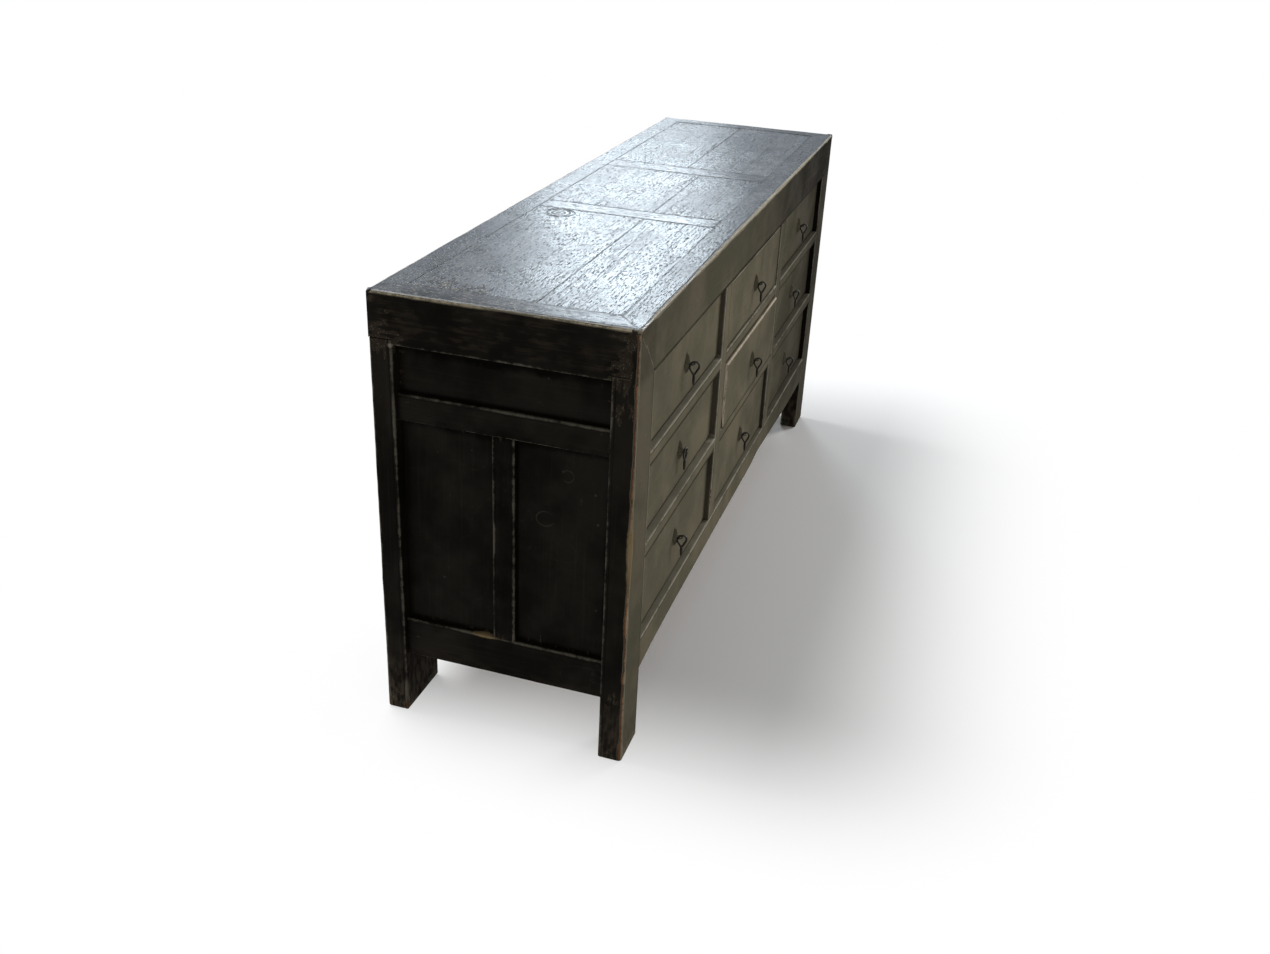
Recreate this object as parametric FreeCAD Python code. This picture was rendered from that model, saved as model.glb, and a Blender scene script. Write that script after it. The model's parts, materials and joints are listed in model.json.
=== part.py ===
import FreeCAD, Part
import math
import os
from FreeCAD import Vector

# A long low chest with nine drawers in three columns, in millimetres.
# X runs along its length, the drawers open towards -Y and Z is up from the floor.
# The origin is on the floor, at the middle of the box round the chest and its pulls.

# The case
case_length = 1734.0
case_depth = 480.0
case_height = 850.0
edge_round = 5.0

# The posts, which are also the legs
front_post_width = 90.0
front_depth = 46.0
back_post_width = 130.0
back_depth = 43.0
post_drop = 85.0
tongue_thickness = 12.0

# Joints between members
tenon_length = 12.0
groove_depth = 8.0
panel_thickness = 10.0
cut_overrun = 20.0

# The frame of the top, its two battens and its boards
front_rail_lip = 15.0
front_rail_width = 50.0
end_top_rail_width = 53.0
left_batten_width = 58.0
left_batten_share = 0.378
right_batten_width = 65.0
right_batten_share = 0.647
batten_thickness = 32.0
board_thickness = 18.0
board_tongue = 7.0
board_seam_gap = 0.6
left_seam_share = 0.39
middle_seam_share = 0.39
right_seam_share = 0.52

# The grid of the front
divider_width = 46.0
cross_rail_height = 28.0
row_heights = {"top": 150.0, "middle": 152.0, "bottom": 170.0}
apron_height = 56.0
apron_edge_shares = (
    (0.0, -0.20), (0.04, -0.07), (0.12, 0.0), (0.35, 0.03), (0.58, 0.02),
    (0.63, 0.16), (0.70, 0.04), (0.81, -0.14), (0.86, -0.22), (0.93, -0.25), (1.0, -0.24),
)
bead_width = 1.6
bead_depth = 1.2
bead_inset = 5.0

# The two ends
end_rail_setback = 12.0
end_panel_setback = 24.0
end_rail_thickness = 28.0
frieze_height = 91.0
mid_rail_height = 50.0
end_foot_height = 128.0
bottom_rail_height = 79.0
muntin_width = 42.0

# The back
back_stile_width = 90.0
back_rail_height = 60.0
back_rail_drop = 12.0
back_panel_setback = 12.0

# What carries the drawers
runner_height = 20.0
runner_reach = 18.0
guide_height = 14.0

# The drawers. The shares of the home recess say how far each one stands out of its stop
home_recess = 13.5
drawn_out_shares = {
    "top": {"left": 0.19, "centre": 0.78, "right": 0.11},
    "middle": {"left": 0.0, "centre": 1.30, "right": 0.04},
    "bottom": {"left": 0.11, "centre": 0.33, "right": 0.07},
}
drawer_front_thickness = 20.0
drawer_gap = 1.5
worn_drawer = ("top", "centre")
worn_drawer_top_gap = 6.5
worn_drawer_side_gap = 3.0
drawer_wall = 10.0
drawer_bottom_thickness = 8.0
drawer_bottom_lift = 6.0
drawer_groove = 4.0
drawer_side_inset = 1.0
drawer_box_drop = 14.0
running_gap = 0.3
drawer_travel = 280.0

# The pull: a lozenge plate, a split pin with a flat eye, and a pear-shaped drop
plate_half_height = 21.0
plate_half_width = 15.0
plate_rim = 1.2
plate_rise = 1.2
plate_crown_share = 0.45
pin_radius = 1.2
eye_radius = 6.0
eye_reach = 10.0
neck_radius = 1.6
neck_gap = 0.1
pin_leg_length = 13.0
pin_leg_thickness = 1.6
pin_leg_half_width = 1.4
drop_wire_radius = 1.5
drop_loop_radius = 10.0
drop_throat = 27.0
drop_tail_start = 24.0
drop_length = 47.0
drop_tail_belly = 33.0
drop_tail_start_radius = 2.0
drop_tail_belly_radius = 2.6
drop_tail_end_radius = 1.6

# The angle in degrees by which each drop is turned out of the plane of its drawer's face
drop_yaw = {
    "top": {"left": 60.0, "centre": 50.0, "right": 50.0},
    "middle": {"left": 5.0, "centre": 52.0, "right": 40.0},
    "bottom": {"left": 62.0, "centre": 52.0, "right": 60.0},
}

rows = tuple(row_heights)
columns = ("left", "centre", "right")
up = Vector(0, 0, 1)
down = Vector(0, 0, -1)
inward = Vector(0, 1, 0)
outward = Vector(0, -1, 0)

# A joint's shoulder is as deep as a groove, so that a panel's corner meets the tenon flush,
# and the end rails hang as far below the posts' tops, so that a panel's top is flush with them
tenon_shoulder = groove_depth
end_rail_lip = groove_depth


def drop_reach(row, column):
    """How far the drop of a drawer stands out in front of the drawer's face."""
    turned_out = math.sin(math.radians(drop_yaw[row][column]))
    return eye_reach + (eye_radius + drop_loop_radius) * turned_out + drop_wire_radius


def drawn_out(row, column):
    """How far a drawer stands out of its stop."""
    return home_recess * drawn_out_shares[row][column]


# The pulls stand out in front of the case, so its middle lies behind the origin
pull_reach = max(
    drop_reach(row, column) + drawn_out(row, column) - home_recess
    for row in rows
    for column in columns
)

# Planes of the case that pieces share
x_out = case_length / 2
x_in = x_out - front_post_width
x_back_in = x_out - back_post_width
y_front = (pull_reach - case_depth) / 2
y_back = y_front + case_depth
y_front_in = y_front + front_depth
y_back_in = y_back - back_depth
y_middle = (y_front + y_back) / 2
z_post_top = case_height - post_drop
z_front_rail = z_post_top - front_rail_lip
z_end_rail = z_post_top - end_rail_lip

# Floor and ceiling of each row of drawers, and left and right of each column
row_span = {}
next_top = z_front_rail
for row_name in rows:
    row_span[row_name] = (next_top - row_heights[row_name], next_top)
    next_top = next_top - row_heights[row_name] - cross_rail_height
apron_top = row_span[rows[-1]][0]
apron_bottom = apron_top - apron_height
column_width = (2 * x_in - (len(columns) - 1) * divider_width) / len(columns)
column_span = {}
next_left = -x_in
for column_name in columns:
    column_span[column_name] = (next_left, next_left + column_width)
    next_left = next_left + column_width + divider_width
divider_centres = (-(column_width + divider_width) / 2, (column_width + divider_width) / 2)


def block(low, high):
    """A box between its lowest and its highest corner."""
    sizes = [top - bottom for bottom, top in zip(low, high)]
    return Part.makeBox(*sizes, Vector(*low))


def tenoned(low, high, axis):
    """A bar with a shouldered tenon on both ends; axis is 0 for X, 1 for Y and 2 for Z."""
    tenon_low = [value + tenon_shoulder for value in low]
    tenon_high = [value - tenon_shoulder for value in high]
    tenon_low[axis] = low[axis] - tenon_length
    tenon_high[axis] = high[axis] + tenon_length
    return block(low, high).fuse(block(tenon_low, tenon_high))


def prism(points, direction):
    """A solid with the outline of the points, drawn out along a direction."""
    return Part.Face(Part.makePolygon(points + points[:1])).extrude(direction)


def other_end(shape):
    """The same piece for the right end of the case."""
    return shape.mirror(Vector(0, 0, 0), Vector(1, 0, 0))


def rounded_case():
    """The case as one block with its upright and top edges rounded."""
    case = block((-x_out, y_front, 0), (x_out, y_back, case_height))
    floor_edges = [edge for edge in case.Edges if edge.BoundBox.ZMax < edge_round]
    kept = [edge for edge in case.Edges if not any(edge.isSame(other) for other in floor_edges)]
    return case.makeFillet(edge_round, kept)


# Ends of the case

def end_panels():
    """The frieze panel and the two lower panels of the left end."""
    x_face = -x_out + end_panel_setback
    mid_top = z_end_rail - frieze_height
    mid_bottom = mid_top - mid_rail_height
    lower = end_foot_height + bottom_rail_height
    half = muntin_width / 2
    openings = (
        (y_front_in, y_back_in, mid_top, z_end_rail),
        (y_front_in, y_middle - half, lower, mid_bottom),
        (y_middle + half, y_back_in, lower, mid_bottom),
    )
    return [
        block(
            (x_face, y_low - groove_depth, z_low - groove_depth),
            (x_face + panel_thickness, y_high + groove_depth, z_high + groove_depth),
        )
        for y_low, y_high, z_low, z_high in openings
    ]


def end_rails(panels):
    """The middle rail, the bottom rail and the muntin of the left end."""
    x_face = -x_out + end_rail_setback
    x_inner = x_face + end_rail_thickness
    mid_top = z_end_rail - frieze_height
    mid_bottom = mid_top - mid_rail_height
    lower = end_foot_height + bottom_rail_height
    half = muntin_width / 2
    muntin = tenoned((x_face, y_middle - half, lower), (x_inner, y_middle + half, mid_bottom), 2)
    rails = [
        tenoned((x_face, y_front_in, mid_bottom), (x_inner, y_back_in, mid_top), 1),
        tenoned((x_face, y_front_in, end_foot_height), (x_inner, y_back_in, lower), 1),
    ]
    for index, top in enumerate((mid_top, lower)):
        line = block(
            (x_face - cut_overrun, y_front_in, top - bead_inset - bead_width),
            (x_face + bead_depth, y_back_in, top - bead_inset),
        )
        rails[index] = rails[index].cut([muntin, line] + panels)
    lines = [
        block(
            (x_face - cut_overrun, y_line, lower),
            (x_face + bead_depth, y_line + bead_width, mid_bottom),
        )
        for y_line in (y_middle - half + bead_inset, y_middle + half - bead_inset - bead_width)
    ]
    return rails + [muntin.cut(panels + lines)]


# Front of the case

def front_dividers(cross_rails):
    """The two uprights between the columns of drawers."""
    half = divider_width / 2
    return [
        tenoned(
            (centre - half, y_front, apron_top), (centre + half, y_front_in, z_front_rail), 2
        ).cut(cross_rails)
        for centre in divider_centres
    ]


def front_cross_rails():
    """The six rails between the rows of drawers, with a scribed line along both edges."""
    rails = []
    for row in rows[:-1]:
        top = row_span[row][0]
        bottom = top - cross_rail_height
        for column in columns:
            left, right = column_span[column]
            rail = tenoned((left, y_front, bottom), (right, y_front_in, top), 0)
            lines = [
                block(
                    (left, y_front - cut_overrun, z_line),
                    (right, y_front + bead_depth, z_line + bead_width),
                )
                for z_line in (bottom + bead_inset, top - bead_inset - bead_width)
            ]
            rails.append(rail.cut(lines))
    return rails


def front_apron(dividers):
    """The rail below the bottom drawers, with its worn and uneven lower edge."""
    edge_points = [
        Vector(-x_in + across * 2 * x_in, y_front, apron_bottom + rise * apron_height)
        for across, rise in apron_edge_shares
    ]
    lower_edge = Part.BSplineCurve()
    lower_edge.interpolate(edge_points)
    corners = [edge_points[-1], Vector(x_in, y_front, apron_top)]
    corners += [Vector(-x_in, y_front, apron_top), edge_points[0]]
    outline = Part.Wire([lower_edge.toShape()] + Part.makePolygon(corners).Edges)
    board = Part.Face(outline).extrude(Vector(0, front_depth, 0))
    tenon = block(
        (-x_in - tenon_length, y_front + tenon_shoulder, apron_bottom + tenon_shoulder),
        (x_in + tenon_length, y_front_in - tenon_shoulder, apron_top - tenon_shoulder),
    )
    return board.fuse(tenon).cut(dividers)


# Back of the case

def back_panels():
    """The three panels of the back."""
    y_face = y_back - back_panel_setback
    z_low = apron_top - back_rail_drop
    half = back_stile_width / 2
    edges = [-x_back_in]
    for centre in divider_centres:
        edges += [centre - half, centre + half]
    edges.append(x_back_in)
    return [
        block(
            (left - groove_depth, y_face - panel_thickness, z_low - groove_depth),
            (right + groove_depth, y_face, z_front_rail + groove_depth),
        )
        for left, right in zip(edges[::2], edges[1::2])
    ]


def back_rails(panels):
    """The bottom rail of the back and the two stiles that stand on it."""
    z_high = apron_top - back_rail_drop
    half = back_stile_width / 2
    stiles = [
        tenoned((centre - half, y_back_in, z_high), (centre + half, y_back, z_front_rail), 2)
        for centre in divider_centres
    ]
    rail = tenoned(
        (-x_back_in, y_back_in, z_high - back_rail_height), (x_back_in, y_back, z_high), 0
    )
    return [rail.cut(stiles + panels)] + [stile.cut(panels) for stile in stiles]


# Posts and the frame of the top

def front_post(entering):
    """The left front post, with a thin tongue in front that is mitred to the top rail."""
    body = block((-x_out, y_front, 0), (-x_in, y_front_in, z_post_top))
    body = body.cut(
        block(
            (-x_out - cut_overrun, y_front - cut_overrun, -cut_overrun),
            (-x_in + cut_overrun, y_front + tongue_thickness, case_height),
        )
    )
    tongue = prism(
        [
            Vector(-x_out, y_front, 0),
            Vector(-x_in, y_front, 0),
            Vector(-x_in, y_front, z_front_rail),
            Vector(-x_out, y_front, case_height),
        ],
        Vector(0, tongue_thickness, 0),
    )
    return body.fuse(tongue).removeSplitter().cut(entering).common(rounded_case())


def back_post(entering):
    """The left back post."""
    body = block((-x_out, y_back_in, 0), (-x_back_in, y_back, z_post_top))
    return body.cut(entering).common(rounded_case())


def top_frame(posts, entering):
    """The four mitred rails of the top, by name."""
    inner_x = x_out - end_top_rail_width
    inner_front = y_front + front_rail_width
    inner_back = y_back - front_rail_width
    corners = {
        "front_left": Vector(-x_out, y_front, z_post_top),
        "front_right": Vector(x_out, y_front, z_post_top),
        "back_left": Vector(-x_out, y_back, z_post_top),
        "back_right": Vector(x_out, y_back, z_post_top),
    }
    inner = {
        "front_left": Vector(-inner_x, inner_front, z_post_top),
        "front_right": Vector(inner_x, inner_front, z_post_top),
        "back_left": Vector(-inner_x, inner_back, z_post_top),
        "back_right": Vector(inner_x, inner_back, z_post_top),
    }
    webs = {
        "front": block((-x_in, y_front, z_front_rail), (x_in, inner_front, z_post_top)),
        "back": block((-x_back_in, inner_back, z_front_rail), (x_back_in, y_back, z_post_top)),
        "left": block((-x_out, y_front_in, z_end_rail), (-inner_x, y_back_in, z_post_top)),
        "right": block((inner_x, y_front_in, z_end_rail), (x_out, y_back_in, z_post_top)),
    }
    ends = {
        "front": ("front_left", "front_right"),
        "back": ("back_left", "back_right"),
        "left": ("front_left", "back_left"),
        "right": ("front_right", "back_right"),
    }
    frame = {}
    for side, (first, second) in ends.items():
        outline = [corners[first], corners[second], inner[second], inner[first]]
        bar = prism(outline, Vector(0, 0, post_drop)).fuse(webs[side]).removeSplitter()
        frame[side] = bar.cut(posts + entering).common(rounded_case())
    return frame


def batten_edges(side):
    """The left and right edge of a batten of the top."""
    inner_x = x_out - end_top_rail_width
    share = left_batten_share if side == "left" else right_batten_share
    width = left_batten_width if side == "left" else right_batten_width
    centre = -inner_x + share * 2 * inner_x
    return centre - width / 2, centre + width / 2


def top_batten(side):
    """A batten across the top, flush with the boards, tenoned into the front and back rails."""
    left, right = batten_edges(side)
    return tenoned(
        (left, y_front + front_rail_width, case_height - batten_thickness),
        (right, y_back - front_rail_width, case_height),
        1,
    )


def top_boards(panel):
    """The two boards of one panel of the top, with a tongue in the frame all round."""
    inner_x = x_out - end_top_rail_width
    spans = {
        "left": (-inner_x, batten_edges("left")[0], left_seam_share),
        "middle": (batten_edges("left")[1], batten_edges("right")[0], middle_seam_share),
        "right": (batten_edges("right")[1], inner_x, right_seam_share),
    }
    left, right, seam_share = spans[panel]
    front = y_front + front_rail_width
    back = y_back - front_rail_width
    seam = front + seam_share * (back - front)
    z_low = case_height - board_thickness
    boards = []
    for y_low, y_high, outer in ((front, seam, -1), (seam, back, 1)):
        face = block(
            (left + board_seam_gap, y_low + board_seam_gap / 2, z_low),
            (right - board_seam_gap, y_high - board_seam_gap / 2, case_height),
        )
        tongue_front = groove_depth if outer < 0 else -board_seam_gap / 2
        tongue_back = groove_depth if outer > 0 else -board_seam_gap / 2
        tongue = block(
            (left - groove_depth, y_low - tongue_front, z_low),
            (right + groove_depth, y_high + tongue_back, z_low + board_tongue),
        )
        boards.append(face.fuse(tongue))
    return boards


# What carries the drawers

def runner_stations():
    """For each line of runners: the edges of the guide and the reach to its left and right."""
    half = divider_width / 2
    stations = [(-x_in - half, -x_in, 0, runner_reach)]
    for centre in divider_centres:
        stations.append((centre - half, centre + half, runner_reach, runner_reach))
    stations.append((x_in, x_in + half, runner_reach, 0))
    return stations


def drawer_runners():
    """The bars that the drawers slide on, four to a row."""
    return [
        block(
            (left - reach_left, y_front_in, row_span[row][0] - runner_height),
            (right + reach_right, y_back_in, row_span[row][0]),
        )
        for row in rows
        for left, right, reach_left, reach_right in runner_stations()
    ]


def drawer_guides():
    """The bars on the runners that keep the drawers straight."""
    return [
        block(
            (left, y_front_in, row_span[row][0]),
            (right, y_back_in, row_span[row][0] + guide_height),
        )
        for row in rows
        for left, right, _, _ in runner_stations()
    ]


# One drawer

def drawer_face(row, column):
    """Plane of a drawer's face, and the edges of its front: y, left, right, bottom, top."""
    left, right = column_span[column]
    bottom, top = row_span[row]
    worn = (row, column) == worn_drawer
    side_gap = worn_drawer_side_gap if worn else drawer_gap
    top_gap = worn_drawer_top_gap if worn else drawer_gap
    y_face = y_front + home_recess - drawn_out(row, column)
    return y_face, left + side_gap, right - side_gap, bottom + drawer_gap, top - top_gap


def drawer_box(row, column):
    """Two sides, the back and the bottom of a drawer."""
    y_face, left, right, _, top = drawer_face(row, column)
    left = left + drawer_side_inset
    right = right - drawer_side_inset
    low = row_span[row][0] + running_gap
    high = top - drawer_box_drop
    y_near = y_face + drawer_front_thickness
    y_far = y_back_in - running_gap - drawn_out(row, column)
    z_floor = low + drawer_bottom_lift
    floor = block(
        (left + drawer_wall - drawer_groove, y_near - drawer_groove, z_floor),
        (
            right - drawer_wall + drawer_groove,
            y_far - drawer_wall + drawer_groove,
            z_floor + drawer_bottom_thickness,
        ),
    )
    walls = [
        block((left, y_near, low), (left + drawer_wall, y_far, high)),
        block((right - drawer_wall, y_near, low), (right, y_far, high)),
        block((left + drawer_wall, y_far - drawer_wall, low), (right - drawer_wall, y_far, high)),
    ]
    return [wall.cut(floor) for wall in walls] + [floor]


def pull_centre(row, column):
    """The place on a drawer's face where its pull is fixed."""
    left, right = column_span[column]
    bottom, top = row_span[row]
    return Vector((left + right) / 2, drawer_face(row, column)[0], (bottom + top) / 2)


def drawer_front(row, column):
    """The front board of a drawer, with a groove for the bottom and a hole for the pin."""
    y_face, left, right, bottom, top = drawer_face(row, column)
    board = block((left, y_face, bottom), (right, y_face + drawer_front_thickness, top))
    start = pull_centre(row, column) + outward * cut_overrun
    hole_length = drawer_front_thickness + 2 * cut_overrun
    hole = Part.makeCylinder(neck_radius + neck_gap, hole_length, start, inward)
    return board.cut([hole, drawer_box(row, column)[-1]])


def lozenge(centre, share):
    """The upright lozenge outline of the plate, at a share of its size."""
    width = Vector(plate_half_width * share, 0, 0)
    height = Vector(0, 0, plate_half_height * share)
    corners = [centre + width, centre + height, centre - width, centre - height]
    return Part.makePolygon(corners + corners[:1])


def pull_plate(centre):
    """The lozenge plate, with a low raised middle and the hole for the pin."""
    rim = Part.Face(lozenge(centre, 1)).extrude(outward * plate_rim)
    crown_foot = centre + outward * plate_rim
    crown_top = crown_foot + outward * plate_rise
    crown = Part.makeLoft(
        [lozenge(crown_foot, 1), lozenge(crown_top, plate_crown_share)], True, True
    )
    start = centre + outward * cut_overrun
    hole = Part.makeCylinder(neck_radius + neck_gap, 2 * cut_overrun, start, inward)
    return rim.fuse(crown).cut(hole)


def pull_pin(centre):
    """The split pin: a flat eye, a neck through the drawer front and two bent legs behind."""
    eye_centre = centre + outward * eye_reach
    eye = Part.makeTorus(eye_radius, pin_radius, eye_centre, up)
    neck_start = eye_centre + inward * eye_radius
    behind = centre + inward * drawer_front_thickness
    neck_length = behind.y + pin_leg_thickness - neck_start.y
    neck = Part.makeCylinder(neck_radius, neck_length, neck_start, inward)
    legs = block(
        (behind.x - pin_leg_length, behind.y, behind.z - pin_leg_half_width),
        (
            behind.x + pin_leg_length,
            behind.y + pin_leg_thickness,
            behind.z + pin_leg_half_width,
        ),
    )
    return eye.fuse([neck, legs])


def drop_pivot(row, column):
    """The point on the wire of the eye that the drop hangs on."""
    yaw = math.radians(drop_yaw[row][column])
    towards_drop = Vector(math.cos(yaw), -math.sin(yaw), 0)
    return pull_centre(row, column) + outward * eye_reach + towards_drop * eye_radius


def drop_top():
    """Height of the loop's wire centre above the pivot."""
    return pin_radius + drop_wire_radius + running_gap


def pull_drop(row, column):
    """The pear-shaped loop of wire that runs out into a thick tail below."""
    loop_centre = Vector(0, 0, drop_top() - drop_loop_radius)
    throat_depth = drop_throat - drop_loop_radius
    spread = math.acos(drop_loop_radius / throat_depth)
    throat = loop_centre + down * throat_depth
    touch = loop_centre + Vector(math.sin(spread), 0, -math.cos(spread)) * drop_loop_radius
    along = Vector(math.cos(spread), 0, math.sin(spread))
    section = Part.Face(Part.Wire(Part.makeCircle(drop_wire_radius, touch, along)))
    loop = section.revolve(loop_centre, outward, 360 - 2 * math.degrees(spread))
    leg = Part.makeCylinder(drop_wire_radius, throat.distanceToPoint(touch), touch, throat - touch)
    tail_start = Vector(0, 0, drop_top() - drop_tail_start)
    belly = Vector(0, 0, drop_top() - drop_tail_belly)
    tail_end = Vector(0, 0, drop_top() - drop_length + drop_tail_end_radius)
    shoulder = Part.makeCone(
        drop_tail_start_radius, drop_tail_belly_radius, tail_start.z - belly.z, tail_start, down
    )
    taper = Part.makeCone(
        drop_tail_belly_radius, drop_tail_end_radius, belly.z - tail_end.z, belly, down
    )
    tip = Part.makeSphere(drop_tail_end_radius, tail_end)
    drop = loop.fuse([leg, other_end(leg), shoulder, taper, tip]).removeSplitter()
    drop.rotate(Vector(0, 0, 0), up, -drop_yaw[row][column])
    drop.translate(drop_pivot(row, column))
    return drop


def build():
    """Every node of the chest, by name, as a list of solids."""
    nodes = {}
    left_panels = end_panels()
    left_rails = end_rails(left_panels)
    cross_rails = front_cross_rails()
    dividers = front_dividers(cross_rails)
    apron = front_apron(dividers)
    panels_behind = back_panels()
    rails_behind = back_rails(panels_behind)
    boards = {panel: top_boards(panel) for panel in ("left", "middle", "right")}
    battens = {side: top_batten(side) for side in ("left", "right")}
    all_boards = [board for pair in boards.values() for board in pair]

    post_front = front_post(left_panels + left_rails + cross_rails + [apron])
    post_back = back_post(left_panels + left_rails + panels_behind + rails_behind)
    nodes["post_front_left"] = [post_front]
    nodes["post_front_right"] = [other_end(post_front)]
    nodes["post_back_left"] = [post_back]
    nodes["post_back_right"] = [other_end(post_back)]
    posts = [nodes[name][0] for name in nodes]
    right_panels = [other_end(panel) for panel in left_panels]
    entering = left_panels + right_panels + dividers + panels_behind + rails_behind
    entering = entering + list(battens.values()) + all_boards
    for side, rail in top_frame(posts, entering).items():
        nodes["top_rail_" + side] = [rail]
    for side, batten in battens.items():
        nodes["top_batten_" + side] = [batten.cut(all_boards)]
    for panel, pair in boards.items():
        nodes["top_boards_" + panel] = pair
    nodes["end_panels_left"] = left_panels
    nodes["end_panels_right"] = right_panels
    nodes["end_rails_left"] = left_rails
    nodes["end_rails_right"] = [other_end(rail) for rail in left_rails]
    nodes["front_dividers"] = dividers
    nodes["front_cross_rails"] = cross_rails
    nodes["front_apron"] = [apron]
    nodes["back_rails"] = rails_behind
    nodes["back_panels"] = panels_behind
    nodes["drawer_runners"] = drawer_runners()
    nodes["drawer_guides"] = drawer_guides()
    for row in rows:
        for column in columns:
            name = "drawer_" + row + "_" + column
            centre = pull_centre(row, column)
            nodes[name + "_front"] = [drawer_front(row, column)]
            nodes[name + "_box"] = drawer_box(row, column)
            nodes[name + "_plate"] = [pull_plate(centre), pull_pin(centre)]
            nodes[name + "_drop"] = [pull_drop(row, column)]
    return nodes


def solids_of(shapes):
    """The plain solids of a list of shapes."""
    return [solid for shape in shapes for solid in shape.Solids]


os.makedirs("parts", exist_ok=True)
chest = {node: solids_of(shapes) for node, shapes in build().items()}
for node, solids in chest.items():
    Part.makeCompound(solids).exportStep("parts/" + node + ".step")
    print(node, len(solids), all(solid.isValid() for solid in solids))
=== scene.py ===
"""A long low chest of nine drawers in worn black lacquer, dressed round its fixed frame.

Every wooden member is a surface of its own: a rounded section carried along the member, with
the ragged, rubbed edges, scribed beads and hand-planed faces of an old country chest. The pulls
are wrought iron: a lozenge plate, a split pin with a flat eye and a pear-shaped drop.
"""

import itertools
import json
import logging
import math
from dataclasses import dataclass, field
from enum import Enum
from typing import Callable, Optional, Sequence, Union

import bpy
import numpy as np
from mathutils import Euler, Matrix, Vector


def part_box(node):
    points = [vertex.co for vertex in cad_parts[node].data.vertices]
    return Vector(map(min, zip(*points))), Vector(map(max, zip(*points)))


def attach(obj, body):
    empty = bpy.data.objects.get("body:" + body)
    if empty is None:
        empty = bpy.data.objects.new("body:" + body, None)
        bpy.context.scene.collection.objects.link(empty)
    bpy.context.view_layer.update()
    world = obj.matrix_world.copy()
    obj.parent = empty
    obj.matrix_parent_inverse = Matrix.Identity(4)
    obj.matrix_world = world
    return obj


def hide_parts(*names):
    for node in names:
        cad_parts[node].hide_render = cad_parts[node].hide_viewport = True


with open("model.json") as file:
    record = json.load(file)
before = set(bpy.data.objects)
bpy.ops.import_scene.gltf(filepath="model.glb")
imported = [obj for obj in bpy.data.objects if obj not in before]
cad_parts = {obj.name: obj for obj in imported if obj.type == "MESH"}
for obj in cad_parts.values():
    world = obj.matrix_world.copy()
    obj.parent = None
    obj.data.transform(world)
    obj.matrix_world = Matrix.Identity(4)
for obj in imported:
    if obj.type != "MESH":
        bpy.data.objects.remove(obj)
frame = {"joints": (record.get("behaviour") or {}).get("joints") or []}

MM = 0.001
Colour = tuple[float, float, float]
Corner = tuple[float, float, float]
Value = Union[float, "Signal"]
log = logging.getLogger("chest")


class Slot(Enum):
    """The record's material slots."""

    LACQUER = "black_lacquer"
    DRAWER = "drawer_lacquer"
    TOP = "worn_top"
    BACK = "back_wood"
    INNER = "bare_wood"
    PLATE = "iron_plate"
    DROP = "iron_drop"


class End(Enum):
    """One end of the chest, with the name of the side that looks inwards and its sign in x."""

    LEFT = ("left", "right", -1)
    RIGHT = ("right", "left", 1)

    @property
    def side(self) -> str:
        """The side that looks outwards."""
        return self.value[0]

    @property
    def inner(self) -> str:
        """The side that looks inwards."""
        return self.value[1]

    @property
    def second(self) -> bool:
        """Whether it is the right end, whose members have seeds one higher."""
        return self is End.RIGHT

    def span(self, outer: float, inner: float) -> tuple[float, float]:
        """The lower and higher x between two distances from the middle."""
        return tuple(sorted((self.value[2] * outer, self.value[2] * inner)))


class Axis(Enum):
    """The direction that a member's grain runs in, with the names of its four long sides."""

    LENGTH = 0
    DEPTH = 1
    HEIGHT = 2

    @property
    def sides(self) -> tuple[str, str, str, str]:
        """The long sides in the order in which the section passes them."""
        return (
            ("bottom", "back", "top", "front"),
            ("left", "top", "right", "bottom"),
            ("front", "right", "back", "left"),
        )[self.value]


def lattice_noise(points: np.ndarray, pitch: float, seed: int) -> np.ndarray:
    """Smooth noise from 0 to 1, blended between random values on a cubic lattice.

    Args:
        points: Places in metres, as an array whose last axis is x, y, z.
        pitch: Distance between the lattice's points.
        seed: Picks the table of random values.

    Returns:
        One value for each place.
    """
    table = np.random.default_rng(seed).random(4096)
    scaled = points / pitch
    cell = np.floor(scaled).astype(np.int64)
    part = scaled - cell
    part = part * part * (3 - 2 * part)
    total = np.zeros(points.shape[:-1])
    for corner in itertools.product((0, 1), repeat=3):
        index = cell + np.array(corner)
        mixed = index[..., 0] * 73856093 ^ index[..., 1] * 19349663 ^ index[..., 2] * 83492791
        weight = np.where(np.array(corner, bool), part, 1 - part).prod(axis=-1)
        total += weight * table[mixed % len(table)]
    return total


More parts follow.
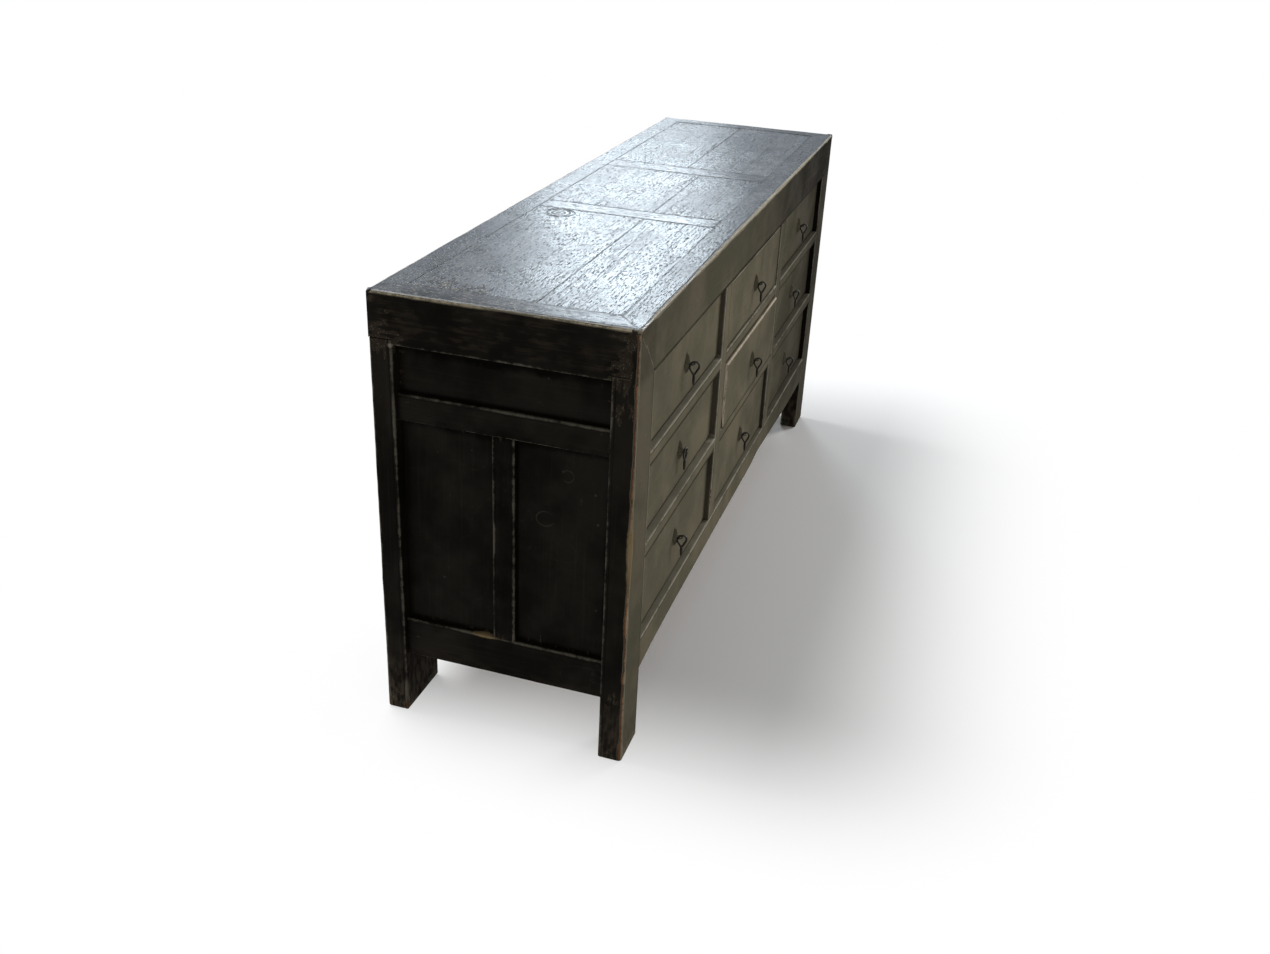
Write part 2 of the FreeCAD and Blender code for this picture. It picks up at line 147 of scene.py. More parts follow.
@dataclass
class Shell:
    """A closed surface: its points, its faces as flat lists of corners, and its marks.

    The marks are numbers at each point: rub is how worn an edge is, soil how near a joint lies,
    shade how much dirt and painted shade darken it, front how far the surface faces the room,
    which weights the painted light of the lit sides, smooth how far the grain is filled, and
    dust how much dust, with painted light from above, lies on upward faces.
    """

    MARKS = ("rub", "soil", "shade", "front", "smooth", "dust")

    points: np.ndarray
    corners: np.ndarray
    counts: np.ndarray
    grain: np.ndarray
    marks: dict[str, np.ndarray]

    @staticmethod
    def joined(shells: Sequence["Shell"]) -> "Shell":
        """Several shells as one.

        Args:
            shells: The shells in order.

        Returns:
            One shell that holds them all.
        """
        starts = np.cumsum([0] + [len(shell.points) for shell in shells[:-1]])
        return Shell(
            np.concatenate([shell.points for shell in shells]),
            np.concatenate([shell.corners + start for shell, start in zip(shells, starts)]),
            np.concatenate([shell.counts for shell in shells]),
            np.concatenate([shell.grain for shell in shells]),
            {
                mark: np.concatenate([shell.marks[mark] for shell in shells])
                for mark in Shell.MARKS
            },
        )

    @staticmethod
    def gridded(points: np.ndarray, closed: bool, **marks: np.ndarray) -> "Shell":
        """A shell from a grid of points whose rows go round and whose grain is their place.

        Args:
            points: The grid, as rows, columns, and x, y, z.
            closed: Whether the last row joins the first; otherwise both ends get a face.
            marks: Marks of the grid's points; those left out are zero.

        Returns:
            The shell.
        """
        corners, counts = grid_faces(*points.shape[:2], closed, not closed)
        flat = points.reshape(-1, 3)
        zero = np.zeros(len(flat))
        given = {
            mark: np.broadcast_to(value, points.shape[:2]).ravel() for mark, value in marks.items()
        }
        return Shell(
            flat, corners, counts, flat.copy(), {mark: given.get(mark, zero) for mark in Shell.MARKS}
        )


def grid_faces(rows: int, columns: int, closed_rows: bool, capped: bool) -> tuple:
    """Faces of a grid whose columns run round a section and whose rows follow a path.

    Args:
        rows: Number of sections.
        columns: Number of points round each section.
        closed_rows: Whether the last section joins the first.
        capped: Whether the first and last section are closed by a flat face.

    Returns:
        The flat list of corners and the number of corners of each face.
    """
    index = np.arange(rows * columns).reshape(rows, columns)
    first = index if closed_rows else index[:-1]
    second = np.roll(index, -1, axis=0) if closed_rows else index[1:]
    quads = np.stack(
        [first, np.roll(first, -1, axis=1), np.roll(second, -1, axis=1), second], axis=-1
    )
    corners = [quads.ravel()]
    counts = [np.full(quads.shape[0] * columns, 4)]
    if capped:
        corners += [index[0][::-1], index[-1]]
        counts.append(np.array([columns, columns]))
    return np.concatenate(corners), np.concatenate(counts)


@dataclass(frozen=True)
class Edge:
    """How one long edge of a member is rounded and rubbed, and darkened by dirt and painted shade."""

    radius: float = 1.2 * MM
    ragged: float = 0.5 * MM
    chips: float = 0.0
    rub: float = 0.45
    reach: float = 3.0 * MM
    focus: float = 0.5
    spread: float = 0.7
    grime_and_shade: float = 0.0


@dataclass(frozen=True)
class Groove:
    """A scribed line on one side of a member, at a distance from the edge it shares."""

    side: str
    near: str
    inset: float = 5.8 * MM
    half_width: float = 0.9 * MM
    depth: float = 1.2 * MM
    rub: float = 0.42


@dataclass
class Sweep:
    """A member's surface while it is worked out.

    Rows of the arrays are stations along the member and columns go round its section. A column
    is on the arc of one corner, or on the straight side between that corner and the next.
    Turned is the share of the arc it has passed, normal its way outwards, radius and
    next_radius belong to the two arcs, rubs to the four edges, and crests and hollows are the
    rub and the painted shade of scribed lines. Distances are from the two arcs along the side,
    and from the member's nearer end.
    """

    corner: np.ndarray
    on_arc: np.ndarray
    turned: np.ndarray
    normal: np.ndarray
    radius: np.ndarray
    next_radius: np.ndarray
    rubs: np.ndarray
    from_start: np.ndarray
    from_stop: np.ndarray
    from_end: np.ndarray
    crests: np.ndarray
    hollows: np.ndarray
    points: np.ndarray


@dataclass
class Member:
    """One piece of wood: a rounded section carried along its grain, closed at both ends."""

    low: Corner
    high: Corner
    axis: Axis
    seed: int
    edges: dict[tuple[str, str], Edge] = field(default_factory=dict)
    plain: Edge = Edge()
    grooves: tuple[Groove, ...] = ()
    starts: Optional[Callable[[np.ndarray], np.ndarray]] = None
    stops: Optional[Callable[[np.ndarray], np.ndarray]] = None
    steps_at: dict[str, float] = field(default_factory=dict)
    wave: float = 0.25 * MM
    wave_pitch: float = 0.09
    along_pitch: float = 6 * MM
    across_pitch: float = 6 * MM
    end_round: float = 0.7 * MM
    foot_round: Optional[float] = None
    soil_reach: float = 12 * MM
    end_reach: float = 2.0 * MM
    end_rub: float = 0.25
    # The share of the lit colours that left and right faces take: painted light.
    side_light: float = 0.0
    smooth: float = 0.0
    # Dust on upward faces, which also lightens them as painted light from above.
    ledge_dust_and_light: float = 0.0

    ARC_POINTS = 5
    SMALLEST_RADIUS = 0.25 * MM
    STEP_GAP = 0.02 * MM
    END_POINTS = 3
    # How far dark seams and painted shade reach from an edge.
    GRIME_AND_SHADE_REACH = 1.6 * MM
    EDGE_STOP = 1.3 * MM
    PITH = (0.11, 0.06)
    LEAN = 0.02
    SWERVE = 0.012
    DRIFT = (40.0, 0.05, 0.05)
    SIGNS = np.array([[-1, -1], [1, -1], [1, 1], [-1, 1]], float)
    TANGENTS = np.array([[1, 0], [0, 1], [-1, 0], [0, -1]], float)
    OUTWARDS = np.array([[0, -1], [1, 0], [0, 1], [-1, 0]], float)
    GROOVE_STOPS = (-1.8, -1.0, -0.5, 0.0, 0.5, 1.0, 1.8)

    def _edge(self, corner: int) -> Edge:
        """The edge between a side and the one before it."""
        sides = self.axis.sides
        wanted = {sides[corner - 1], sides[corner]}
        return next((edge for pair, edge in self.edges.items() if set(pair) == wanted), self.plain)

    def _side_stops(self, side: int) -> np.ndarray:
        """Shares of a side's length at which the section has points."""
        run = (self.axis.value + 1 + side % 2) % 3
        start, stop = (self.low, self.high) if side < 2 else (self.high, self.low)
        length = abs(stop[run] - start[run])
        steps = max(2, round(length / self.across_pitch))
        stops = list(np.arange(1, steps) / steps)
        if length > 8 * self.EDGE_STOP:
            stops += [self.EDGE_STOP / length, 1 - self.EDGE_STOP / length]
        sides = self.axis.sides
        if sides[side] in self.steps_at:
            level = (self.steps_at[sides[side]] - start[run]) / (stop[run] - start[run])
            stops += [level - self.STEP_GAP / length, level + self.STEP_GAP / length]
        for groove in self.grooves:
            if groove.side == sides[side]:
                places = groove.inset + np.array(self.GROOVE_STOPS) * groove.half_width
                shares = places / length
                shares = 1 - shares if groove.near == sides[(side + 1) % 4] else shares
                stops = [stop for stop in stops if np.abs(shares - stop).min() > 0.3 / steps]
                stops += list(shares)
        return np.sort(np.clip(np.array(stops), 0.001, 0.999))

    def _section(self) -> tuple[np.ndarray, np.ndarray, np.ndarray, np.ndarray]:
        """For each point of the section: whether it is on an arc, its corner, angle and share."""
        parts = []
        for corner in range(4):
            turn = math.pi + corner * math.pi / 2
            angle = turn + np.linspace(0, math.pi / 2, self.ARC_POINTS)
            share = self._side_stops(corner)
            parts.append(np.stack([0 * angle + 1, 0 * angle + corner, angle, 0 * angle]))
            straight = np.full(len(share), turn + math.pi / 2)
            parts.append(np.stack([0 * share, 0 * share + corner, straight, share]))
        arc, corner, angle, share = np.concatenate(parts, axis=1)
        return arc > 0, corner.astype(int), angle, share

    def _stations(self, length: float) -> tuple[np.ndarray, np.ndarray, np.ndarray]:
        """For each section: its share of the length, its shift along it and its inset."""
        steps = max(2, round(length / self.along_pitch))
        share = np.linspace(0, 1, steps + 1)
        first = self.end_round if self.foot_round is None else self.foot_round
        turn = np.arange(self.END_POINTS) / self.END_POINTS * math.pi / 2
        shift = 1 - np.cos(turn)
        inset = 1 - np.sin(turn)
        flat = np.full(self.END_POINTS, 1.0)
        between = first - (first + self.end_round) * share
        return (
            np.concatenate([0 * flat, share, flat]),
            np.concatenate([first * shift, between, -self.end_round * shift[::-1]]),
            np.concatenate([first * inset, np.zeros(steps + 1), self.end_round * inset[::-1]]),
        )

    def _radii(self, places: np.ndarray, smallest_side: float) -> tuple[np.ndarray, np.ndarray]:
        """Radius and rub of the four edges at each station, uneven along the member."""
        radii, rubs = [], []
        for corner in range(4):
            edge = self._edge(corner)
            line = np.stack([places, places * 0 + corner * 0.37, places * 0 + self.seed], axis=-1)
            slow = lattice_noise(line, 0.07, self.seed + corner)
            fast = lattice_noise(line, 0.018, self.seed + corner + 40)
            chip = np.clip((lattice_noise(line, 0.028, self.seed + corner + 80) - 0.6) / 0.4, 0, 1)
            radius = edge.radius + edge.ragged * (slow + 0.6 * fast - 0.8) * 1.4
            radius = radius + edge.chips * chip ** 1.5
            radii.append(np.clip(radius, self.SMALLEST_RADIUS, 0.42 * smallest_side))
            rubs.append(edge.rub * (0.62 + 0.5 * slow + 0.26 * fast) + 0.2 * chip * (edge.chips > 0))
        return np.stack(radii, axis=-1), np.stack(rubs, axis=-1)

    @property
    def plane(self) -> list[int]:
        """The two directions of the section."""
        return [(self.axis.value + 1) % 3, (self.axis.value + 2) % 3]

    def _run(self, corner: np.ndarray, share: np.ndarray) -> tuple[np.ndarray, np.ndarray]:
        """Where the grain starts and stops for each column, from its place in a square section."""
        low, high = np.array(self.low), np.array(self.high)
        middle, half = (low + high)[self.plane] / 2, (high - low)[self.plane] / 2
        square = np.zeros((len(corner), 3))
        square[:, self.plane] = middle + self.SIGNS[corner] * half
        ahead = self.SIGNS[(corner + 1) % 4] - self.SIGNS[corner]
        square[:, self.plane] += share[:, None] * ahead * half
        axis = self.axis.value
        first = np.full(len(corner), low[axis]) if self.starts is None else self.starts(square)
        last = np.full(len(corner), high[axis]) if self.stops is None else self.stops(square)
        return first, last

    def _swept(self) -> Sweep:
        """The plain rounded surface, before anything is pressed into it.

        A point on an arc is the corner's centre plus a step of the radius in the arc's
        direction. A point on a side lies at its share of the straight between two arcs.
        """
        axis, plane = self.axis.value, self.plane
        low, high = np.array(self.low), np.array(self.high)
        middle, half = (low + high)[plane] / 2, (high - low)[plane] / 2
        arc, corner, angle, share = self._section()
        following = (corner + 1) % 4
        along_share, shift, inset = self._stations(high[axis] - low[axis])
        places = low[axis] + along_share * (high[axis] - low[axis])
        radii, rubs = self._radii(places, 2 * half.min())
        radius, next_radius = radii[:, corner], radii[:, following]

        centres = (middle + self.SIGNS * half)[None] - self.SIGNS[None] * inset[:, None, None]
        way = np.stack([np.cos(angle), np.sin(angle)], axis=-1)
        on_arc = centres[:, corner] - self.SIGNS[corner] * radius[..., None] + way * radius[..., None]
        start = centres[:, corner] + self.TANGENTS[corner] * radius[..., None]
        stop = centres[:, following] - self.TANGENTS[corner] * next_radius[..., None]
        on_side = start + share[None, :, None] * (stop - start)
        first, last = self._run(corner, share)
        along = first + along_share[:, None] * (last - first) + shift[:, None]
        points = np.zeros(along.shape + (3,))
        points[..., axis] = along
        points[..., plane] = np.where(arc[None, :, None], on_arc, on_side)
        length = np.linalg.norm(stop - start, axis=-1)
        from_start = share[None] * length
        return Sweep(
            corner=corner,
            on_arc=arc,
            turned=(angle - math.pi - corner * math.pi / 2) / (math.pi / 2),
            normal=np.where(arc[:, None], way, self.OUTWARDS[corner]),
            radius=radius,
            next_radius=next_radius,
            rubs=rubs,
            from_start=from_start,
            from_stop=length - from_start,
            from_end=np.minimum(along - first, last - along),
            crests=np.zeros(along.shape),
            hollows=np.zeros(along.shape),
            points=points,
        )

    def _press(self, sweep: Sweep) -> None:
        """Takes off what the plane and the scribe took, along the surface's own normal.

        The plane leaves slow noise, and a scribed line is a bell curve of the distance from it,
        with rub on its crest and painted shade in its hollow.

        Args:
            sweep: The surface, which is changed.
        """
        depth = self.wave * lattice_noise(sweep.points, self.wave_pitch, self.seed + 7)
        for groove in self.grooves:
            side = self.axis.sides.index(groove.side)
            if groove.near == self.axis.sides[(side + 1) % 4]:
                distance = sweep.from_stop + sweep.next_radius
            else:
                distance = sweep.from_start + sweep.radius
            off_line = (distance - groove.inset) / groove.half_width
            here = (sweep.corner == side) & ~sweep.on_arc
            depth = depth + np.where(here, groove.depth * np.exp(-off_line ** 2), 0)
            crest = np.exp(-((np.abs(off_line) - 2.1) / 0.9) ** 2) * (off_line < 0)
            sweep.crests = np.maximum(sweep.crests, np.where(here, groove.rub * crest, 0))
            # Painted shade in the scribed line's hollow.
            hollow = np.where(here, 0.8 * np.exp(-(off_line ** 2)), 0)
            sweep.hollows = np.maximum(sweep.hollows, hollow)
        sweep.points[..., self.plane] -= sweep.normal[None] * depth[..., None]

    def _marks(self, sweep: Sweep) -> dict[str, np.ndarray]:
        """The marks of every point, by name.

        Rub, and the dark of dirt and painted shade, fade away from an edge as bell curves of the
        distance, and soil away from the member's ends.
        """
        edges = [self._edge(index) for index in range(4)]
        reach, focus, spread, grime_and_shade = np.array(
            [[edge.reach, edge.focus, edge.spread, edge.grime_and_shade] for edge in edges]
        ).T
        corner, on_arc = sweep.corner, sweep.on_arc[None]
        following = (corner + 1) % 4
        focused = np.exp(-(((sweep.turned - focus[corner]) / spread[corner]) ** 2))
        at_start = np.exp(-((focus[corner] - 1) / spread[corner]) ** 2)
        at_stop = np.exp(-((focus[following] / spread[following]) ** 2))
        near = sweep.rubs[:, corner] * at_start * np.exp(-((sweep.from_start / reach[corner]) ** 2))
        far = sweep.rubs[:, following] * at_stop * np.exp(-((sweep.from_stop / reach[following]) ** 2))
        rub = np.where(on_arc, sweep.rubs[:, corner] * focused, np.maximum(near, far))
        rub = np.maximum(rub, self.end_rub * np.exp(-((sweep.from_end / self.end_reach) ** 2)))
        # Dark seams and painted shade along the edges that carry them.
        near = grime_and_shade[corner] * np.exp(-((sweep.from_start / self.GRIME_AND_SHADE_REACH) ** 2))
        far = grime_and_shade[following] * np.exp(-((sweep.from_stop / self.GRIME_AND_SHADE_REACH) ** 2))
        shade = np.where(on_arc, grime_and_shade[corner], np.maximum(near, far))
        outward = np.zeros((len(corner), 3))
        outward[:, self.plane] = sweep.normal
        # Which faces take the lit colours: those towards the room, upward faces, and left and right
        # faces by their share; painted light.
        lit_share = np.maximum(-outward[:, 1] * 2 - 0.6, outward[:, 2])
        lit_share = np.maximum(lit_share, np.abs(outward[:, 0]) * self.side_light)
        marks = {
            "rub": np.maximum(rub, sweep.crests),
            "soil": np.exp(-sweep.from_end / self.soil_reach),
            "shade": np.maximum(shade, sweep.hollows),
            "front": np.clip(lit_share, 0, 1),
            "smooth": np.array(self.smooth),
            # Dust on upward faces, lighter also as painted light from above.
            "dust": self.ledge_dust_and_light * (outward[:, 2] > 0.9),
        }
        return {mark: np.broadcast_to(value, rub.shape).ravel() for mark, value in marks.items()}

    def _grain(self, points: np.ndarray) -> np.ndarray:
        """Each point's place in the tree: along the grain, and away from a pith that leans."""
        axis = self.axis.value
        middle = (np.array(self.low) + np.array(self.high))[self.plane] / 2
        drift = np.random.default_rng(self.seed).uniform(-0.5, 0.5, 3)
        swerve = self.SWERVE * (lattice_noise(points * 0.35, 0.14, self.seed + 11) - 0.5)
        turned = points[..., self.plane] - middle
        grain = np.zeros(points.shape)
        grain[..., 0] = points[..., axis] + self.DRIFT[0] * drift[0]
        grain[..., 1] = turned[..., 0] + self.PITH[0] + self.DRIFT[1] * drift[1] + swerve
        grain[..., 2] = turned[..., 1] + self.PITH[1] + self.DRIFT[2] * drift[2]
        grain[..., 2] += self.LEAN * (points[..., axis] - self.low[axis])
        return grain

    def shell(self) -> Shell:
        """The member's closed surface, with its marks."""
        sweep = self._swept()
        self._press(sweep)
        corners, counts = grid_faces(*sweep.points.shape[:2], False, True)
        grain = self._grain(sweep.points).reshape(-1, 3)
        return Shell(sweep.points.reshape(-1, 3), corners, counts, grain, self._marks(sweep))


def pitched(millimetres: float) -> dict[str, float]:
    """The spacing of a member's points, the same along and across it."""
    return {"along_pitch": millimetres * MM, "across_pitch": millimetres * MM}


def revolved(profile: np.ndarray, foot: np.ndarray, way: np.ndarray, around: int = 20) -> Shell:
    """A surface of revolution: each point of the profile is carried round a straight axis.

    Args:
        profile: Rows of distance along the axis and radius; a zero radius closes an end.
        foot: The point of the axis that distances count from.
        way: The axis's direction, a unit vector.
        around: Number of points round the axis.

    Returns:
        The closed shell.
    """
    helper = np.array([0.0, 0.0, 1.0]) if abs(way[2]) < 0.9 else np.array([1.0, 0.0, 0.0])
    first = np.cross(way, helper)
    first /= np.linalg.norm(first)
    second = np.cross(way, first)
    angle = np.linspace(0, 2 * math.pi, around, endpoint=False)
    ring = np.cos(angle)[:, None] * first + np.sin(angle)[:, None] * second
    axis_points = foot + profile[:, :1] * way
    points = axis_points[:, None] + profile[:, 1, None, None] * ring[None]
    return Shell.gridded(points, False, rub=0.3)


def tube(path: np.ndarray, side: np.ndarray, radius: np.ndarray, closed: bool) -> Shell:
    """A round wire: a circle carried along a flat path, square to it at every point.

    Args:
        path: The centre line's points.
        side: The unit normal of the plane that the path lies in.
        radius: The wire's radius at each point.
        closed: Whether the path returns to its start.

    Returns:
        The closed shell.
    """
    if closed:
        along = np.roll(path, -1, axis=0) - np.roll(path, 1, axis=0)
    else:
        along = np.gradient(path, axis=0)
    along /= np.linalg.norm(along, axis=1, keepdims=True)
    across = np.cross(along, side)
    angle = np.linspace(0, 2 * math.pi, 14, endpoint=False)
    ring = (
        np.cos(angle)[None, :, None] * across[:, None]
        - np.sin(angle)[None, :, None] * side[None, None]
    )
    points = path[:, None] + radius[:, None, None] * ring
    # The wire's rub mark gives pale crests: worn iron and painted highlights.
    return Shell.gridded(points, closed, rub=0.57)


class Signal:
    """A number that varies over a surface; each operation on it adds one Math node."""

    def __init__(self, graph: "Graph", socket: bpy.types.NodeSocket) -> None:
        """Wraps an output socket of a graph."""
        self.graph = graph
        self.socket = socket

    def _math(self, operation: str, *values: Value) -> "Signal":
        """One Math node with these values, in order."""
        node = self.graph.node("ShaderNodeMath", {"operation": operation}, dict(enumerate(values)))
        return Signal(self.graph, node.outputs[0])

    def __add__(self, other: Value) -> "Signal":
        """The sum."""
        return self._math("ADD", self, other)

    __radd__ = __add__

    def __sub__(self, other: Value) -> "Signal":
        """The difference."""
        return self._math("SUBTRACT", self, other)

    def __rsub__(self, other: Value) -> "Signal":
        """The difference from a number."""
        return self._math("SUBTRACT", other, self)

    def __mul__(self, other: Value) -> "Signal":
        """The product."""
        return self._math("MULTIPLY", self, other)

    __rmul__ = __mul__

    def __truediv__(self, other: Value) -> "Signal":
        """The quotient."""
        return self._math("DIVIDE", self, other)

    def __pow__(self, other: Value) -> "Signal":
        """The power."""
        return self._math("POWER", self, other)

    def __abs__(self) -> "Signal":
        """The size without its sign."""
        return self._math("ABSOLUTE", self)

    def sine(self) -> "Signal":
        """The sine, of radians."""
        return self._math("SINE", self)

    def larger(self, other: Value) -> "Signal":
        """The larger of two."""
        return self._math("MAXIMUM", self, other)

    def smaller(self, other: Value) -> "Signal":
        """The smaller of two."""
        return self._math("MINIMUM", self, other)

    def ramp(self, low: float, high: float) -> "Signal":
        """Smoothly from 0 at low to 1 at high; low may be above high."""
        settings = {"interpolation_type": "SMOOTHSTEP", "clamp": True}
        flipped = low > high
        values = {0: self, 1: min(low, high), 2: max(low, high), 3: 0.0, 4: 1.0}
        if flipped:
            values[3], values[4] = 1.0, 0.0
        node = self.graph.node("ShaderNodeMapRange", settings, values)
        return Signal(self.graph, node.outputs[0])


class Graph:
    """One material's nodes, round a Principled shader."""

    def __init__(self, name: str) -> None:
        """Makes the material and its shader."""
        self.material = bpy.data.materials.new(name)
        self.material.use_nodes = True
        self.tree = self.material.node_tree
        self.tree.nodes.clear()
        self.output = self.node("ShaderNodeOutputMaterial")
        self.shader = self.node("ShaderNodeBsdfPrincipled")
        self.tree.links.new(self.shader.outputs[0], self.output.inputs["Surface"])

    def node(self, kind: str, settings: Optional[dict] = None, values: Optional[dict] = None):
        """Adds any node.

        Args:
            kind: The node's type.
            settings: Its properties, set first.
            values: Values or links of its inputs, by name or number.

        Returns:
            The node.
        """
        made = self.tree.nodes.new(kind)
        for key, value in (settings or {}).items():
            setattr(made, key, value)
        for key, value in (values or {}).items():
            self.feed(made.inputs[key], value)
        return made

    def feed(self, socket: bpy.types.NodeSocket, value: object) -> None:
        """Links a signal or socket to an input, or sets its value."""
        if isinstance(value, Signal):
            value = value.socket
        if isinstance(value, bpy.types.NodeSocket):
            self.tree.links.new(value, socket)
        elif isinstance(value, tuple) and len(value) == 3 and socket.type == "RGBA":
            socket.default_value = (*value, 1.0)
        else:
            socket.default_value = value

    def attribute(self, name: str, output: str = "Vector") -> bpy.types.NodeSocket:
        """One output of a mesh attribute."""
        return self.node("ShaderNodeAttribute", {"attribute_name": name}).outputs[output]

    def number(self, name: str) -> Signal:
        """A mesh attribute that holds a number."""
        return Signal(self, self.attribute(name, "Fac"))

    def place(self) -> bpy.types.NodeSocket:
        """The object coordinates."""
        return self.node("ShaderNodeTexCoord").outputs["Object"]

    def parts(self, vector: bpy.types.NodeSocket) -> tuple[Signal, Signal, Signal]:
        """The three numbers of a vector."""
        node = self.node("ShaderNodeSeparateXYZ", values={0: vector})
        return tuple(Signal(self, socket) for socket in node.outputs)

    def vector(self, x: Value, y: Value, z: Value) -> bpy.types.NodeSocket:
        """A vector of three numbers."""
        return self.node("ShaderNodeCombineXYZ", values={0: x, 1: y, 2: z}).outputs[0]

    def stretched(self, vector: bpy.types.NodeSocket, scale: Colour) -> bpy.types.NodeSocket:
        """A vector times a fixed one."""
        settings = {"operation": "MULTIPLY"}
        return self.node("ShaderNodeVectorMath", settings, {0: vector, 1: scale}).outputs[0]

    def shifted(self, vector: bpy.types.NodeSocket, by: Colour) -> bpy.types.NodeSocket:
        """A vector plus a fixed one."""
        return self.node("ShaderNodeVectorMath", {"operation": "ADD"}, {0: vector, 1: by}).outputs[0]

    def length(self, vector: bpy.types.NodeSocket) -> Signal:
        """The length of a vector."""
        node = self.node("ShaderNodeVectorMath", {"operation": "LENGTH"}, {0: vector})
        return Signal(self, node.outputs["Value"])

    def noise(self, vector: bpy.types.NodeSocket, scale: float, detail: float = 2.0) -> Signal:
        """Soft noise round a half."""
        values = {"Vector": vector, "Scale": scale, "Detail": detail}
        return Signal(self, self.node("ShaderNodeTexNoise", values=values).outputs["Fac"])

    def cells(self, vector: bpy.types.NodeSocket, scale: float, feature: str = "F1") -> Signal:
        """Distance to the nearest scattered point, in cells."""
        node = self.node(
            "ShaderNodeTexVoronoi", {"feature": feature}, {"Vector": vector, "Scale": scale}
        )
        return Signal(self, node.outputs["Distance"])

    def drawn(
        self, grain: bpy.types.NodeSocket, length: float, width: float, detail: float
    ) -> Signal:
        """Noise drawn out along the grain, with so many changes a metre along and across it."""
        return self.noise(self.stretched(grain, (length, width, width)), 1.0, detail)

    def rings(
        self, grain: bpy.types.NodeSocket, wander: Signal, bend: float, pitch: float
    ) -> Signal:
        """Growth rings: a sine of the distance from the pith, bent by slow noise.

        Args:
            grain: The place in the tree, along the grain and from the pith.
            wander: The slow noise.
            bend: How far it bends the rings.
            pitch: The width of one ring.

        Returns:
            From 0 to 1 and back over each ring.
        """
        _, first, second = self.parts(grain)
        radius = self.length(self.vector(0.0, first, second))
        return ((radius + wander * bend) * (2 * math.pi / pitch)).sine() * 0.5 + 0.5

    def blend(self, factor: Value, first: object, second: object) -> bpy.types.NodeSocket:
        """From the first colour to the second."""
        settings = {"data_type": "RGBA", "clamp_factor": True}
        node = self.node("ShaderNodeMix", settings)
        self.feed(node.inputs["Factor"], factor)
        sockets = [socket for socket in node.inputs if socket.type == "RGBA"]
        self.feed(sockets[0], first)
        self.feed(sockets[1], second)
        return next(socket for socket in node.outputs if socket.type == "RGBA")

    def layered(self, colour: object, *layers: tuple[Value, object]) -> bpy.types.NodeSocket:
        """Lays colours over a first one, in order, each as far as its factor says."""
        for factor, over in layers:
            colour = self.blend(factor, colour, over)
        return colour

    def dress(self, shader: Optional[bpy.types.Node] = None, **sockets: object) -> None:
        """Feeds a shader's sockets, with spaces as underscores; the first shader's by default."""
        for name, value in sockets.items():
            self.feed((shader or self.shader).inputs[name.replace("_", " ")], value)

    def bumped(self, height: Signal, distance: float) -> bpy.types.NodeSocket:
        """The normal of a surface raised by a height, in metres times the distance."""
        return self.node("ShaderNodeBump", values={"Height": height, "Distance": distance}).outputs[0]

    def over(self, factor: Signal) -> bpy.types.Node:
        """Lays a second shader over the first one, as far as the factor says."""
        second = self.node("ShaderNodeBsdfPrincipled")
        values = {0: factor, 1: self.shader.outputs[0], 2: second.outputs[0]}
        mix = self.node("ShaderNodeMixShader", values=values)
        self.tree.links.new(mix.outputs[0], self.output.inputs["Surface"])
        return second


@dataclass(frozen=True)
class Crack:
    """A dark drying crack on the top, from one place to another, seen from above."""

    start: tuple[float, float]
    stop: tuple[float, float]
    width: float = 1.4 * MM
    waver: float = 9 * MM


class Wear(Enum):
    """What a mark on the lacquer looks like."""

    FLAKED = "flaked"
    TAN = "tan"
    DUSTY = "dusty"
    RING = "ring"
    KNOT = "knot"
    SOOTY = "sooty"


@dataclass(frozen=True)
class Scuff:
    """One named mark at a place of the chest: an ellipsoid within which the film is worn.

    Some marks are instead painted shade, a darker patch, or a painted highlight.
    """

    wear: Wear
    centre: Corner
    size: Corner
    strength: float = 1.0


